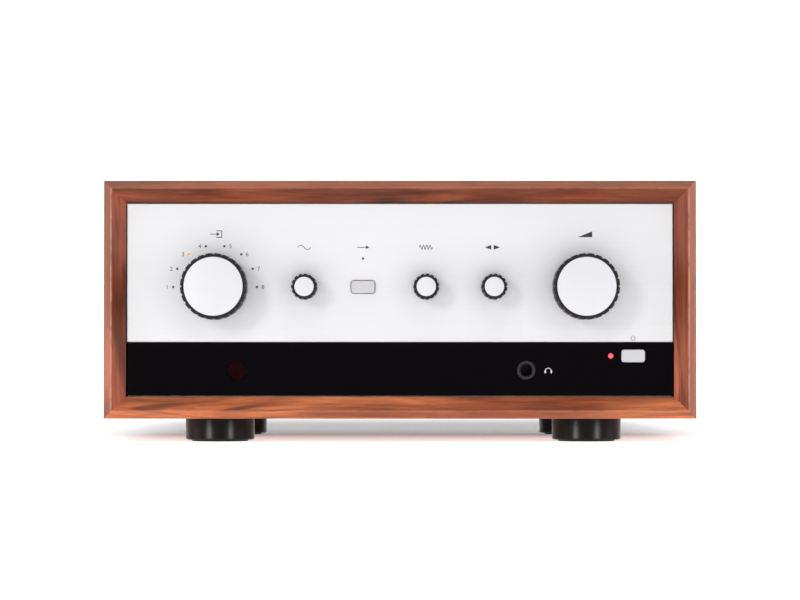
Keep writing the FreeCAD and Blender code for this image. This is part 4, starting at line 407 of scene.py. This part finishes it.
def make_turned_tree():
    """Turns a section into a closed piece round Y, or round Z when upright, and sets one at each place.

    The modifier's mesh holds the section as points in order: radius on X, length on Y.
    """
    group, b, given, out = new_group("turned piece", [
        ("Section", "NodeSocketGeometry", None), ("Places", "NodeSocketObject", None),
        ("Steps", "NodeSocketInt", 64), ("Flutes", "NodeSocketInt", 0), ("Flute Depth", FLOAT, 0.0),
        ("Flute Width", FLOAT, 0.001), ("Flute From", FLOAT, 0.0), ("Flute To", FLOAT, 0.0),
        ("Flute Radius", FLOAT, 0.0), ("Upright", "NodeSocketBool", False),
        ("Finish", "NodeSocketMaterial", None)],
        [("Geometry", "NodeSocketGeometry")], "GeometryNodeTree")
    size = b.node("GeometryNodeAttributeDomainSize", {"Geometry": given["Section"]}, component="MESH")
    around = b.math("ADD", given["Steps"], 1.0)
    grid = b.node("GeometryNodeMeshGrid", {"Vertices X": size.outputs["Point Count"], "Vertices Y": around})
    index = b.node("GeometryNodeInputIndex").outputs[0]
    row = b.math("FLOOR", b.math("DIVIDE", b.math("ADD", index, 0.5), around))
    turn = b.math("DIVIDE", b.math("SUBTRACT", index, b.math("MULTIPLY", row, around)), given["Steps"])
    place = b.node("GeometryNodeInputPosition").outputs[0]
    point = b.node("GeometryNodeSampleIndex", {"Geometry": given["Section"], "Value": place, "Index": row},
                   data_type="FLOAT_VECTOR").outputs[0]
    radius, along = b.node("ShaderNodeSeparateXYZ", {0: point}).outputs[:2]
    share = b.math("MULTIPLY", turn, given["Flutes"])
    share = b.math("ABSOLUTE", b.math("SUBTRACT", share, b.math("ROUND", share)))
    girth = b.math("MULTIPLY", radius, 2 * math.pi)
    pitch = b.math("DIVIDE", girth, b.math("MAXIMUM", given["Flutes"], 1.0))
    across = b.math("DIVIDE", b.math("MULTIPLY", share, pitch), b.math("MULTIPLY", given["Flute Width"], 0.5))
    scoop = b.math("SUBTRACT", 1.0, b.math("MULTIPLY", across, across), clamp=True)
    inside = b.math("MULTIPLY", b.math("GREATER_THAN", along, given["Flute From"]),
                    b.math("LESS_THAN", along, given["Flute To"]))
    inside = b.math("MULTIPLY", inside, b.math("GREATER_THAN", radius, given["Flute Radius"]))
    inside = b.math("MULTIPLY", inside, b.math("GREATER_THAN", given["Flutes"], 0.5))
    depth = b.math("MULTIPLY", b.math("MULTIPLY", scoop, inside), given["Flute Depth"])
    radius = b.math("SUBTRACT", radius, depth)
    angle = b.math("MULTIPLY", turn, 2 * math.pi)
    first = b.math("MULTIPLY", radius, b.math("COSINE", angle))
    second = b.math("MULTIPLY", radius, b.math("SINE", angle))
    lying = b.node("ShaderNodeCombineXYZ", {0: first, 1: along, 2: second}).outputs[0]
    standing = b.node("ShaderNodeCombineXYZ", {0: first, 1: second, 2: along}).outputs[0]
    turned_to = b.node("ShaderNodeMix", {"Factor": given["Upright"]}, data_type="VECTOR")
    b.put(turned_to, 4, lying)
    b.put(turned_to, 5, standing)
    bent = {"Geometry": grid.outputs["Mesh"], "Position": turned_to.outputs[1]}
    shaped = b.node("GeometryNodeSetPosition", bent)
    closed = b.node("GeometryNodeMergeByDistance", {"Geometry": shaped.outputs[0], "Distance": SEAM_GAP})
    spots = b.node("GeometryNodeObjectInfo", {"Object": given["Places"]}).outputs["Geometry"]
    copies = b.node("GeometryNodeInstanceOnPoints", {"Points": spots, "Instance": closed.outputs[0]})
    real = b.node("GeometryNodeRealizeInstances", {"Geometry": copies.outputs[0]})
    done = b.node("GeometryNodeSetMaterial", {"Geometry": real.outputs[0], "Material": given["Finish"]})
    b.put(out, "Geometry", done.outputs[0])
    return group


turned_tree = make_turned_tree()


def point_object(name, points):
    """Object of loose points, given in millimetres."""
    mesh = bpy.data.meshes.new(name)
    mesh.from_pydata([Vector(p) * MM for p in points], [], [])
    made = bpy.data.objects.new(name, mesh)
    scene.collection.objects.link(made)
    return made


def settle(name, mesh, body):
    """A piece in place: its faces point outwards and only its sharp edges stay sharp."""
    work = bmesh.new()
    work.from_mesh(mesh)
    bmesh.ops.recalc_face_normals(work, faces=work.faces)
    work.to_mesh(mesh)
    work.free()
    mesh.shade_smooth()
    mesh.set_sharp_from_angle(angle=math.radians(SHARP_EDGE))
    piece = bpy.data.objects.new(name, mesh)
    scene.collection.objects.link(piece)
    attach(piece, body)
    return piece


def turned(name, section, places, finish, body, slot, **sizes):
    """One piece of the turned tree; sizes are its named inputs, in metres."""
    base = point_object(name + "_section", [(r, y, 0) for r, y in section])
    spots = point_object(name + "_spots", places)
    modifier = base.modifiers.new("turned", "NODES")
    modifier.node_group = turned_tree
    items = turned_tree.interface.items_tree
    sockets = {item.name: item.identifier for item in items if item.in_out == "INPUT"}
    for key, value in {"Places": spots, "Finish": finish, **sizes}.items():
        modifier[sockets[key.replace("_", " ")]] = value
    seen = bpy.context.evaluated_depsgraph_get()
    seen.update()
    mesh = bpy.data.meshes.new_from_object(base.evaluated_get(seen), depsgraph=seen)
    mesh.name = name
    for spare in (base, spots):
        bpy.data.objects.remove(spare)
    return settle(name, mesh, body)


def rounded(outline, size, steps=3):
    """Section with its corners rounded by size; the two ends stay."""
    points = [Vector(p) for p in outline]
    out = [points[0]]
    for before, corner, after in zip(points, points[1:], points[2:]):
        reach = min(size, (before - corner).length * 0.45, (after - corner).length * 0.45)
        start = corner + (before - corner).normalized() * reach
        end = corner + (after - corner).normalized() * reach
        for k in range(steps + 1):
            t = k / steps
            out.append(start * (1 - t) ** 2 + corner * 2 * t * (1 - t) + end * t * t)
    return out + [points[-1]]


# ------------------------------------------------------------------ printed marks
def stroke(points, width, closed=False):
    """Quads along a bent line of even width."""
    points = [Vector(p) for p in points]
    count = len(points)
    left, right = [], []
    for k, point in enumerate(points):
        before = points[k - 1] if k or closed else None
        after = points[(k + 1) % count] if k + 1 < count or closed else None
        ahead = (after - point).normalized() if after is not None else (point - before).normalized()
        behind = (point - before).normalized() if before is not None else ahead
        both = ahead + behind
        normal = Vector((-both.y, both.x)).normalized()
        reach = width / 2 / max(0.4, normal.dot(Vector((-ahead.y, ahead.x))))
        left.append(point + normal * reach)
        right.append(point - normal * reach)
    return [[left[k], left[(k + 1) % count], right[(k + 1) % count], right[k]]
            for k in range(count if closed else count - 1)]


def arc(x, z, radius, first, last, steps=24):
    """Points of an arc, in degrees from +X towards +Z."""
    angles = [math.radians(first + (last - first) * k / steps) for k in range(steps + 1)]
    return [(x + radius * math.cos(a), z + radius * math.sin(a)) for a in angles]


def figure(text, x, z, height, back=False):
    """Triangles of a numeral or sign centred at x, z; back turns it to be read from behind."""
    curve = bpy.data.curves.new(text, "FONT")
    curve.body, curve.size = text, height / 0.7
    curve.align_x, curve.align_y = "CENTER", "CENTER"
    made = bpy.data.objects.new(text, curve)
    scene.collection.objects.link(made)
    seen = bpy.context.evaluated_depsgraph_get()
    seen.update()
    mesh = bpy.data.meshes.new_from_object(made.evaluated_get(seen))
    middle = [(min(v.co[k] for v in mesh.vertices) + max(v.co[k] for v in mesh.vertices)) / 2 for k in (0, 1)]
    side = -1 if back else 1
    faces = [[(x + side * (mesh.vertices[i].co.x - middle[0]), z + mesh.vertices[i].co.y - middle[1])
              for i in face.vertices] for face in mesh.polygons]
    bpy.data.objects.remove(made)
    bpy.data.meshes.remove(mesh)
    return faces


INK_T = 0.04             # thickness of a printed mark, in millimetres


def marks(name, shapes, level, finish):
    """Thin closed ink over the plane y = level; shapes are outlines of x and z in millimetres."""
    work = bmesh.new()
    for outline in shapes:
        work.faces.new([work.verts.new((x * MM, level * MM, z * MM)) for x, z in outline])
    bmesh.ops.remove_doubles(work, verts=work.verts, dist=2e-6)
    bmesh.ops.dissolve_degenerate(work, edges=work.edges, dist=SEAM_GAP)
    bmesh.ops.recalc_face_normals(work, faces=work.faces)
    bmesh.ops.solidify(work, geom=work.faces[:], thickness=INK_T * MM)
    low, high = min(v.co.y for v in work.verts), max(v.co.y for v in work.verts)
    outward = -1 if level < 0 else 1
    shift = level * MM + outward * INK_T * MM / 2 - (low + high) / 2
    bmesh.ops.translate(work, verts=work.verts, vec=(0, shift, 0))
    mesh = bpy.data.meshes.new(name)
    work.to_mesh(mesh)
    work.free()
    mesh.materials.append(finish)
    return settle(name, mesh, "amplifier")


# ------------------------------------------------------------------ places and sizes, in millimetres
Y_PLATE, Y_REAR = -118.2, 118.0                  # outer faces of the faceplate and the rear panel
KNOB_Z = 85.5
BIG_KNOBS = {"input": -102.0, "volume": 102.0}
SMALL_KNOBS = {"bass": -52.53, "treble": 14.382, "balance": 51.714}
BIG_KNOB = {"radius": 18.15, "height": 18.5, "face_radius": 16.1, "flutes": 24, "flute_width": 1.6}
SMALL_KNOB = {"radius": 7.1, "height": 13.0, "face_radius": 5.3, "flutes": 15, "flute_width": 1.25}
KNOB_GAP, FLUTE_DEPTH = 1.0, 0.62
FACE_SEAT, FACE_OUT = 1.2, 0.3                   # how far a knob's face is let in, and how far it stands out
SPINDLE_R, SPINDLE_END = 3.0, -107.7
FOOT_X, FOOT_Y = (-100.7, 104.3), (-87.7, 90.0)
FOOT_R, FOOT_LOW, FOOT_TOP = 19.25, 0.8, 13.0
FOOT_WELL_R, FOOT_WELL_TOP = 6.0, 7.8
PAD_SEAT_R, PAD_SEAT_TOP = (9.0, 16.0), 3.0
TERMINALS = {"right_plus": 16.0, "right_minus": -3.05, "left_plus": -30.0, "left_minus": -49.05}
# the number of each speaker output, and the middle of its two terminals
TERMINAL_PAIRS = {"2": (TERMINALS["right_plus"] + TERMINALS["right_minus"]) / 2,
                  "1": (TERMINALS["left_plus"] + TERMINALS["left_minus"]) / 2}
TERMINAL_Z = 62.0
CAP_R, CAP_BORE, CAP_HOLE, CAP_WALL = 7.6, 5.05, 2.4, 1.5
EARTH_X, EARTH_Z = 124.0, 36.0
NUT_R, NUT_BORE, NUT_T = 5.2, 2.05, 6.0
PHONO_X = (124.0, 102.0, 80.0, 58.0)
PHONO_HIGH, PHONO_LOW = 71.0, 53.0
UPPER_Z = 114.0                                  # the row of digital and antenna sockets
ANTENNA_X = 36.0
SOURCES, SOURCE_RING_R = 8, 23.1
MARK_LINE, MARK_THIN = 0.42, 0.36                # widths of printed lines
SIGNS = {"source": (-101.5, 114.7), "volume": (102.0, 114.5), "bass": (-52.9, 107.4),
         "treble": (14.3, 107.4), "direct": (-20.3, 107.4), "balance": (51.0, 107.4),
         "power": (128.5, 57.3), "headphones": (81.7, 39.3)}


def knob(name, x, radius, height, face_radius, flutes, flute_width):
    """Fluted ring with its spindle, and a pale face set into it."""
    back = Y_PLATE - KNOB_GAP
    front = back - height
    seat = front + FACE_SEAT
    place = (x, 0, KNOB_Z)
    outline = [(0, seat), (face_radius + 0.1, seat), (face_radius + 0.1, front + 0.02),
               (face_radius + 0.35, front), (radius - 0.45, front), (radius, front + 0.45),
               (radius, front + 3.0), (radius, back - 0.5), (radius - 0.5, back), (SPINDLE_R, back),
               (SPINDLE_R, SPINDLE_END), (0, SPINDLE_END)]
    ring = turned(name + "_knob_ring", rounded(outline, 0.25), [place], ring_dark, name + "_control",
                  "knob_ring", Steps=flutes * 24, Flutes=flutes, Flute_Depth=FLUTE_DEPTH * MM,
                  Flute_Width=flute_width * MM, Flute_From=-1.0, Flute_To=(back - 0.3) * MM,
                  Flute_Radius=(radius - 0.7) * MM)
    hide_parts(name + "_knob")
    outline = [(0, front - FACE_OUT), (face_radius, front - FACE_OUT), (face_radius, seat), (0, seat)]
    pale = silver_sheet(name + " knob disc", rings_at=(x * MM, 0, KNOB_Z * MM), colour=rgb(214, 214, 218))
    face = turned(name + "_knob_disc", rounded(outline, 0.3), [place], pale, name + "_control", "silver_face",
                  Steps=96)
    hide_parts(name + "_knob_face")


def make_knobs():
    """Two large and three small knobs in one row."""
    for name, x in BIG_KNOBS.items():
        knob(name, x, **BIG_KNOB)
    for name, x in SMALL_KNOBS.items():
        knob(name, x, **SMALL_KNOB)


def make_feet():
    """Four round feet, hollow below for a ring pad and a screw."""
    inner, outer = PAD_SEAT_R
    outline = [(0, FOOT_WELL_TOP), (FOOT_WELL_R, FOOT_WELL_TOP), (FOOT_WELL_R, FOOT_LOW), (inner, FOOT_LOW),
               (inner, PAD_SEAT_TOP), (outer, PAD_SEAT_TOP), (outer, FOOT_LOW), (FOOT_R - 0.85, FOOT_LOW),
               (FOOT_R, FOOT_LOW + 0.7), (FOOT_R, FOOT_TOP - 0.3), (FOOT_R - 0.35, FOOT_TOP), (0, FOOT_TOP)]
    places = [(x, y, 0) for x in FOOT_X for y in FOOT_Y]
    feet = turned("case_feet", rounded(outline, 0.5, 4), places, foot_black, "amplifier", "foot_black",
                  Steps=96, Upright=True)
    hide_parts("feet")


def make_terminals():
    """Fluted caps of the speaker terminals and the knurled earth nut."""
    base, end = Y_REAR + 4.2, Y_REAR + 20.0
    inside = end - CAP_WALL
    outline = [(CAP_BORE, base), (CAP_R, base), (CAP_R, base + 2.6), (CAP_R, base + 3.0), (CAP_R, end - 0.9),
               (CAP_R - 0.9, end), (CAP_HOLE, end), (CAP_HOLE, inside), (CAP_BORE, inside), (CAP_BORE, base)]
    for name, x in TERMINALS.items():
        red = name.endswith("plus")
        cap = turned(name + "_cap", rounded(outline, 0.35), [(x, 0, TERMINAL_Z)],
                     red_plastic if red else satin_black, "cap_" + name, "cap_red" if red else "cap_black",
                     Steps=144, Flutes=12, Flute_Depth=0.65 * MM, Flute_Width=2.3 * MM,
                     Flute_From=(base + 2.9) * MM, Flute_To=1.0, Flute_Radius=6.5 * MM)
        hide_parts("terminal_cap_" + name)
    base = Y_REAR + 3.2
    end, bevel = base + NUT_T, NUT_R - 0.4
    outline = [(NUT_BORE, base), (bevel, base), (NUT_R, base + 0.5), (NUT_R, base + 0.9), (NUT_R, base + 5.2),
               (NUT_R, base + 5.5), (bevel, end), (NUT_BORE, end), (NUT_BORE, base)]
    nut = turned("earth_thumb_nut", rounded(outline, 0.15), [(EARTH_X, 0, EARTH_Z)], nickel_plate,
                 "earth_nut", "nickel", Steps=192, Flutes=24, Flute_Depth=0.25 * MM, Flute_Width=1.0 * MM,
                 Flute_From=(base + 0.8) * MM, Flute_To=(base + 5.3) * MM, Flute_Radius=5.0 * MM)
    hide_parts("ground_nut")


def wave(x, z, waves, steps):
    """Points of a wavy line centred at x, z."""
    half, rise = 3.6, 1.2
    return [(x - half + 2 * half * k / steps, z + rise * math.sin(2 * waves * math.pi * k / steps))
            for k in range(steps + 1)]


def front_marks():
    """Numbers round the source control, and a plain picture over each other control."""
    ink = []
    for k in range(SOURCES):
        angle = math.radians(180 - 180 * k / (SOURCES - 1))
        side = 1 if k >= SOURCES / 2 else -1
        ink += figure(str(k + 1), BIG_KNOBS["input"] + SOURCE_RING_R * math.cos(angle) + side * 3.3,
                      KNOB_Z + SOURCE_RING_R * math.sin(angle), 2.3)
    x, z = SIGNS["source"]
    ink += stroke([(x - 3.2, z), (x + 0.6, z)], MARK_LINE)
    ink += [[(x + 0.4, z - 1.1), (x + 2.1, z), (x + 0.4, z + 1.1)]]
    ink += stroke([(x + 0.2, z + 1.8), (x + 3.2, z + 1.8), (x + 3.2, z - 1.8), (x + 0.2, z - 1.8)], MARK_LINE)
    x, z = SIGNS["volume"]
    ink += [[(x - 4.0, z - 1.5), (x + 4.0, z - 1.5), (x + 4.0, z + 1.7)]]
    ink += stroke(wave(*SIGNS["bass"], 1, 24), MARK_THIN)
    ink += stroke(wave(*SIGNS["treble"], 4, 72), 0.34)
    x, z = SIGNS["direct"]
    ink += stroke([(x - 3.4, z), (x + 2.0, z)], MARK_THIN)
    ink += [[(x + 1.6, z - 1.0), (x + 3.5, z), (x + 1.6, z + 1.0)]]
    x, z = SIGNS["balance"]
    ink += [[(x - 4.2, z), (x - 0.7, z - 1.3), (x - 0.7, z + 1.3)]]
    ink += [[(x + 0.7, z - 1.3), (x + 4.2, z), (x + 0.7, z + 1.3)]]
    x, z = SIGNS["power"]
    ink += stroke(arc(x, z, 1.15, 125, 415), 0.3) + stroke([(x, z + 0.3), (x, z + 1.6)], 0.3)
    marks("plate_marks", ink, Y_PLATE, ink_black)
    x, z = SIGNS["headphones"]
    pale = stroke(arc(x, z - 0.3, 1.75, 5, 175), 0.28)
    for side in (-1, 1):
        pale += stroke([(x + side * 1.65, z - 1.3), (x + side * 1.65, z + 0.4)], 0.75)
    marks("strip_marks", pale, Y_PLATE, ink_white)


def rear_marks():
    """Numbers, signs and boxes round the rear sockets."""
    ink = []
    for k, x in enumerate(PHONO_X):
        ink += figure(str(k + 1), x, 81.5, 3.0, True)
        ink += stroke([(x - 9, 44.5), (x + 9, 44.5), (x + 9, 79.0), (x - 9, 79.0)], 0.3, True)
    for k, x in enumerate(PHONO_X + (ANTENNA_X,)):
        ink += figure(str(k + 5), x, 103.6, 3.0, True)
    for name, x in TERMINALS.items():
        sign, height = ("+", 3.2) if name.endswith("plus") else ("-", 0.6)
        ink += figure(sign, x, 75.0, height, True)
    for x in TERMINAL_PAIRS.values():
        ink += stroke([(x - 20, 50.0), (x + 20, 50.0), (x + 20, 78.5), (x - 20, 78.5)], 0.3, True)
    for output, x in TERMINAL_PAIRS.items():
        ink += figure(output, x, 81.5, 3.0, True)
    x, z = 112.5, EARTH_Z
    ink += stroke([(x, z + 2.2), (x, z)], MARK_THIN)
    for k in range(3):
        half, low = 2.2 - 0.75 * k, z - 1.0 * k
        ink += stroke([(x - half, low), (x + half, low)], MARK_THIN)
    x = -129.0
    ink += stroke([(x, 112.6), (x, 115.6)], 0.45) + stroke(arc(x, 102.0, 1.4, 0, 345), 0.45, True)
    marks("rear_marks", ink, Y_REAR, ink_white)


make_knobs()
make_feet()
make_terminals()
front_marks()
rear_marks()


# ------------------------------------------------------------------ finishes of the CAD nodes
def dress(name, material):
    """Gives a CAD node one finish."""
    slots = nodes[name].data.materials
    slots.clear()
    slots.append(material)


def dress_parts(name, base, rules):
    """Gives a CAD node a base finish, and others where a face's centre passes a rule."""
    mesh = nodes[name].data
    mesh.materials.clear()
    for material in [base] + [material for material, rule in rules]:
        mesh.materials.append(material)
    for face in mesh.polygons:
        face.material_index = 0
        for number, (material, rule) in enumerate(rules, 1):
            if rule(face.center):
                face.material_index = number
                break


for name, material in {
        "top_board": walnut_top, "bottom_board": walnut_base, "left_board": walnut_left,
        "right_board": walnut_right, "faceplate": plate_silver, "fascia_strip": gloss_black,
        "feet": foot_black, "foot_pads": pad_rubber, "chassis_tray": zinc_steel, "chassis_lid": zinc_steel,
        "front_subpanel": zinc_steel, "rear_panel": rear_paint, "potentiometers": zinc_steel,
        "control_nuts": nickel_plate, "direct_button": button_grey, "power_button": button_grey,
        "source_lamps": dull_lamp, "lit_source_lamp": amber_lamp, "power_lamp": red_lamp,
        "remote_window": window_red, "headphone_socket": satin_black, "optical_sockets": satin_black,
        "optical_shutter_1": satin_black, "optical_shutter_2": satin_black, "ground_washer": nickel_plate,
        "ground_nut": nickel_plate, "fuse_drawer": satin_black, "mains_switch": satin_black,
        "mains_rocker": satin_black, "input_board": board_green, "amplifier_board": board_green,
        "capacitors": can_black, "heatsink": sink_black, "transistors": satin_black,
        "transformer": copper_winding, "wiring": wire_grey, "front_board": board_green,
        "fasteners": screw_steel}.items():
    dress(name, material)
for name in nodes:
    if name.startswith("terminal_bush"):
        dress(name, gold_plate)


def ring_rule(places, inner, outer, first, last=200.0):
    """Rule: a face's centre lies between two radii of a place, and from first to last along Y."""
    def rule(centre):
        x, y, z = centre / MM
        return first < y < last and any(inner < math.hypot(x - a, z - c) < outer for a, c in places)
    return rule


def box_rule(x0, x1, y0, y1, z0, z1):
    """Rule: a face's centre lies in a box."""
    def rule(centre):
        x, y, z = centre / MM
        return x0 < x < x1 and y0 < y < y1 and z0 < z < z1
    return rule


REAR_IN = 116.4                                  # inner face of the rear panel
PHONO_BUSH = (1.8, 3.69)                         # inner and outer radius of a phono socket's coloured bush
PHONO_BUSHES = {orange_plastic: [(PHONO_X[0], UPPER_Z)], white_plastic: [(x, PHONO_HIGH) for x in PHONO_X],
                red_plastic: [(x, PHONO_LOW) for x in PHONO_X]}
TERMINAL_PLACES = [(x, TERMINAL_Z) for x in TERMINALS.values()]
dress_parts("phono_sockets", gold_plate, [(satin_black, box_rule(-200, 200, 0, REAR_IN, 0, 200))] + [
    (finish, ring_rule(places, *PHONO_BUSH, REAR_IN)) for finish, places in PHONO_BUSHES.items()])
dress_parts("usb_and_antenna_sockets", nickel_plate, [
    (white_plastic, box_rule(55.1, 60.9, 100, 117.6, 112.3, 115.7)),
    (gold_plate, ring_rule([(ANTENNA_X, UPPER_Z)], 0, 3.2, 100))])
dress_parts("terminal_posts", gold_plate, [
    (satin_black, ring_rule(TERMINAL_PLACES, 3.2, 9, Y_REAR - 0.1)),
    (nickel_plate, ring_rule(TERMINAL_PLACES, 3.2, 9, 0, Y_REAR)),
    (nickel_plate, ring_rule([(EARTH_X, EARTH_Z)], 0, 9, 0))])
dress_parts("mains_inlet", satin_black, [
    (nickel_plate, box_rule(-113.1, -110.9, 80, 118.6, 67.3, 71.6)),
    (nickel_plate, box_rule(-120.1, -117.9, 80, 118.6, 63.4, 67.6)),
    (nickel_plate, box_rule(-106.1, -103.9, 80, 118.6, 63.4, 67.6)),
    (screw_steel, ring_rule([(-132.0, 62.0), (-92.0, 62.0)], 0, 4, 110))])
dress_parts("headphone_socket", satin_black, [(rim_grey, ring_rule([(69.6, 39.6)], 4.85, 5.3, -119, -117.7))])
dress_parts("fuse_drawer", satin_black, [(nickel_plate, box_rule(-122.5, -101.5, 106, 112.4, 40, 55.9))])
dress_parts("front_board", board_green, [(satin_black, box_rule(-200, 200, -150, -101.2, 0, 200))])


# ------------------------------------------------------------------ floor, lights, camera
def stage_floor():
    """Pale floor that curves up into a backdrop far behind."""
    front, bend, radius, high, half, steps = -4.0, 3.0, 1.2, 5.0, 5.0, 12
    turns = [k * QUARTER / steps for k in range(1, steps + 1)]
    outline = [(front, 0.0), (bend, 0.0)]
    outline += [(bend + radius * math.sin(a), radius - radius * math.cos(a)) for a in turns]
    outline.append((bend + radius, high))
    mesh = bpy.data.meshes.new("studio_floor")
    points = [(x, y, z) for y, z in outline for x in (-half, half)]
    faces = [(2 * k, 2 * k + 1, 2 * k + 3, 2 * k + 2) for k in range(len(outline) - 1)]
    mesh.from_pydata(points, [], faces)
    for face in mesh.polygons:
        face.use_smooth = True
    floor = bpy.data.objects.new("studio_floor", mesh)
    scene.collection.objects.link(floor)
    made = Finish("studio floor", Roughness=0.9)
    made.shader.inputs["Specular IOR Level"].default_value = 0.1
    made.shader.inputs["Emission Color"].default_value = (1, 1, 1, 1)
    across, along = made.node("ShaderNodeSeparateXYZ", {0: made.place}).outputs[:2]
    # a shadow is painted on the floor under and just behind the case: it is darker there and gives hardly any
    # light of its own
    painted_floor_shadow = made.math("MULTIPLY", made.step(made.math("ABSOLUTE", across), 0.25, 0.12),
                     made.math("MULTIPLY", made.step(along, -0.14, 0.2), made.step(along, 1.0, 0.35)))
    pale = made.tint(made.noise(made.place, 3.0, 2.0), (0.90, 0.90, 0.90, 1), (0.92, 0.92, 0.92, 1))
    made.colour(painted_floor_shadow, pale, (0.56, 0.55, 0.55, 1))
    made.put(made.shader, "Emission Strength", made.math("SUBTRACT", 0.72, made.math("MULTIPLY", painted_floor_shadow, 0.70)))
    mesh.materials.append(made.material)


def softbox(name, place, aim, width, height, power):
    """Flat light of the given width and height that faces its aim."""
    light = bpy.data.lights.new(name, "AREA")
    light.shape, light.size, light.size_y, light.energy = "RECTANGLE", width, height, power
    made = bpy.data.objects.new(name, light)
    made.location = place
    made.rotation_euler = (Vector(aim) - Vector(place)).to_track_quat("-Z", "Y").to_euler()
    scene.collection.objects.link(made)
    return made


def camera():
    """Long lens in front of the case, a little below the middle of its height."""
    data = bpy.data.cameras.new("camera")
    data.lens, data.sensor_width, data.clip_end = 151.65, 36.0, 50.0
    made = bpy.data.objects.new("camera", data)
    place, aim = Vector((0.0, -1.976, 0.0452)), Vector((0.0, -0.126, 0.0782))
    made.location = place
    made.rotation_euler = (aim - place).to_track_quat("-Z", "Y").to_euler()
    scene.collection.objects.link(made)
    scene.camera = made


# each soft light: name, place and aim in metres, width and height, watts
SOFT_LIGHTS = [
    ("key", (-1.1, -1.75, 0.72), (0, 0, 0.07), 0.45, 0.5, 10),
    ("fill", (1.1, -1.75, 0.72), (0, 0, 0.07), 0.45, 0.5, 3.5),
    ("front", (0.0, -2.3, 1.7), (0, -0.1, 0.07), 2.4, 0.8, 3.5),
    ("top", (0.0, -0.7, 2.0), (0, -0.1, 0.1), 1.5, 1.0, 9),
    ("left side", (-2.0, -0.4, 0.4), (0, -0.1, 0.07), 1.0, 0.8, 15),
    ("right side", (2.0, -0.4, 0.4), (0, -0.1, 0.07), 1.0, 0.8, 14),
    ("backdrop", (0.0, 1.9, 1.7), (0, 4.2, 1.5), 4.0, 1.2, 110)]
stage_floor()
for values in SOFT_LIGHTS:
    softbox(*values)
# a low light on each side that shines on the feet alone
feet_light = bpy.data.collections.new("feet light")
feet_light.objects.link(bpy.data.objects["case_feet"])
for side in (-1, 1):
    streak = softbox("streak", (side * 1.2, -1.7, 0.3), (0, 0, 0.01), 0.3, 0.9, 60)
    streak.visible_diffuse = False
    streak.light_linking.receiver_collection = feet_light
world = bpy.data.worlds.new("studio")
world.use_nodes = True
world.node_tree.nodes["Background"].inputs["Color"].default_value = (1, 1, 1, 1)
world.node_tree.nodes["Background"].inputs["Strength"].default_value = 0.31
scene.world = world
scene.view_settings.view_transform = "Standard"
camera()
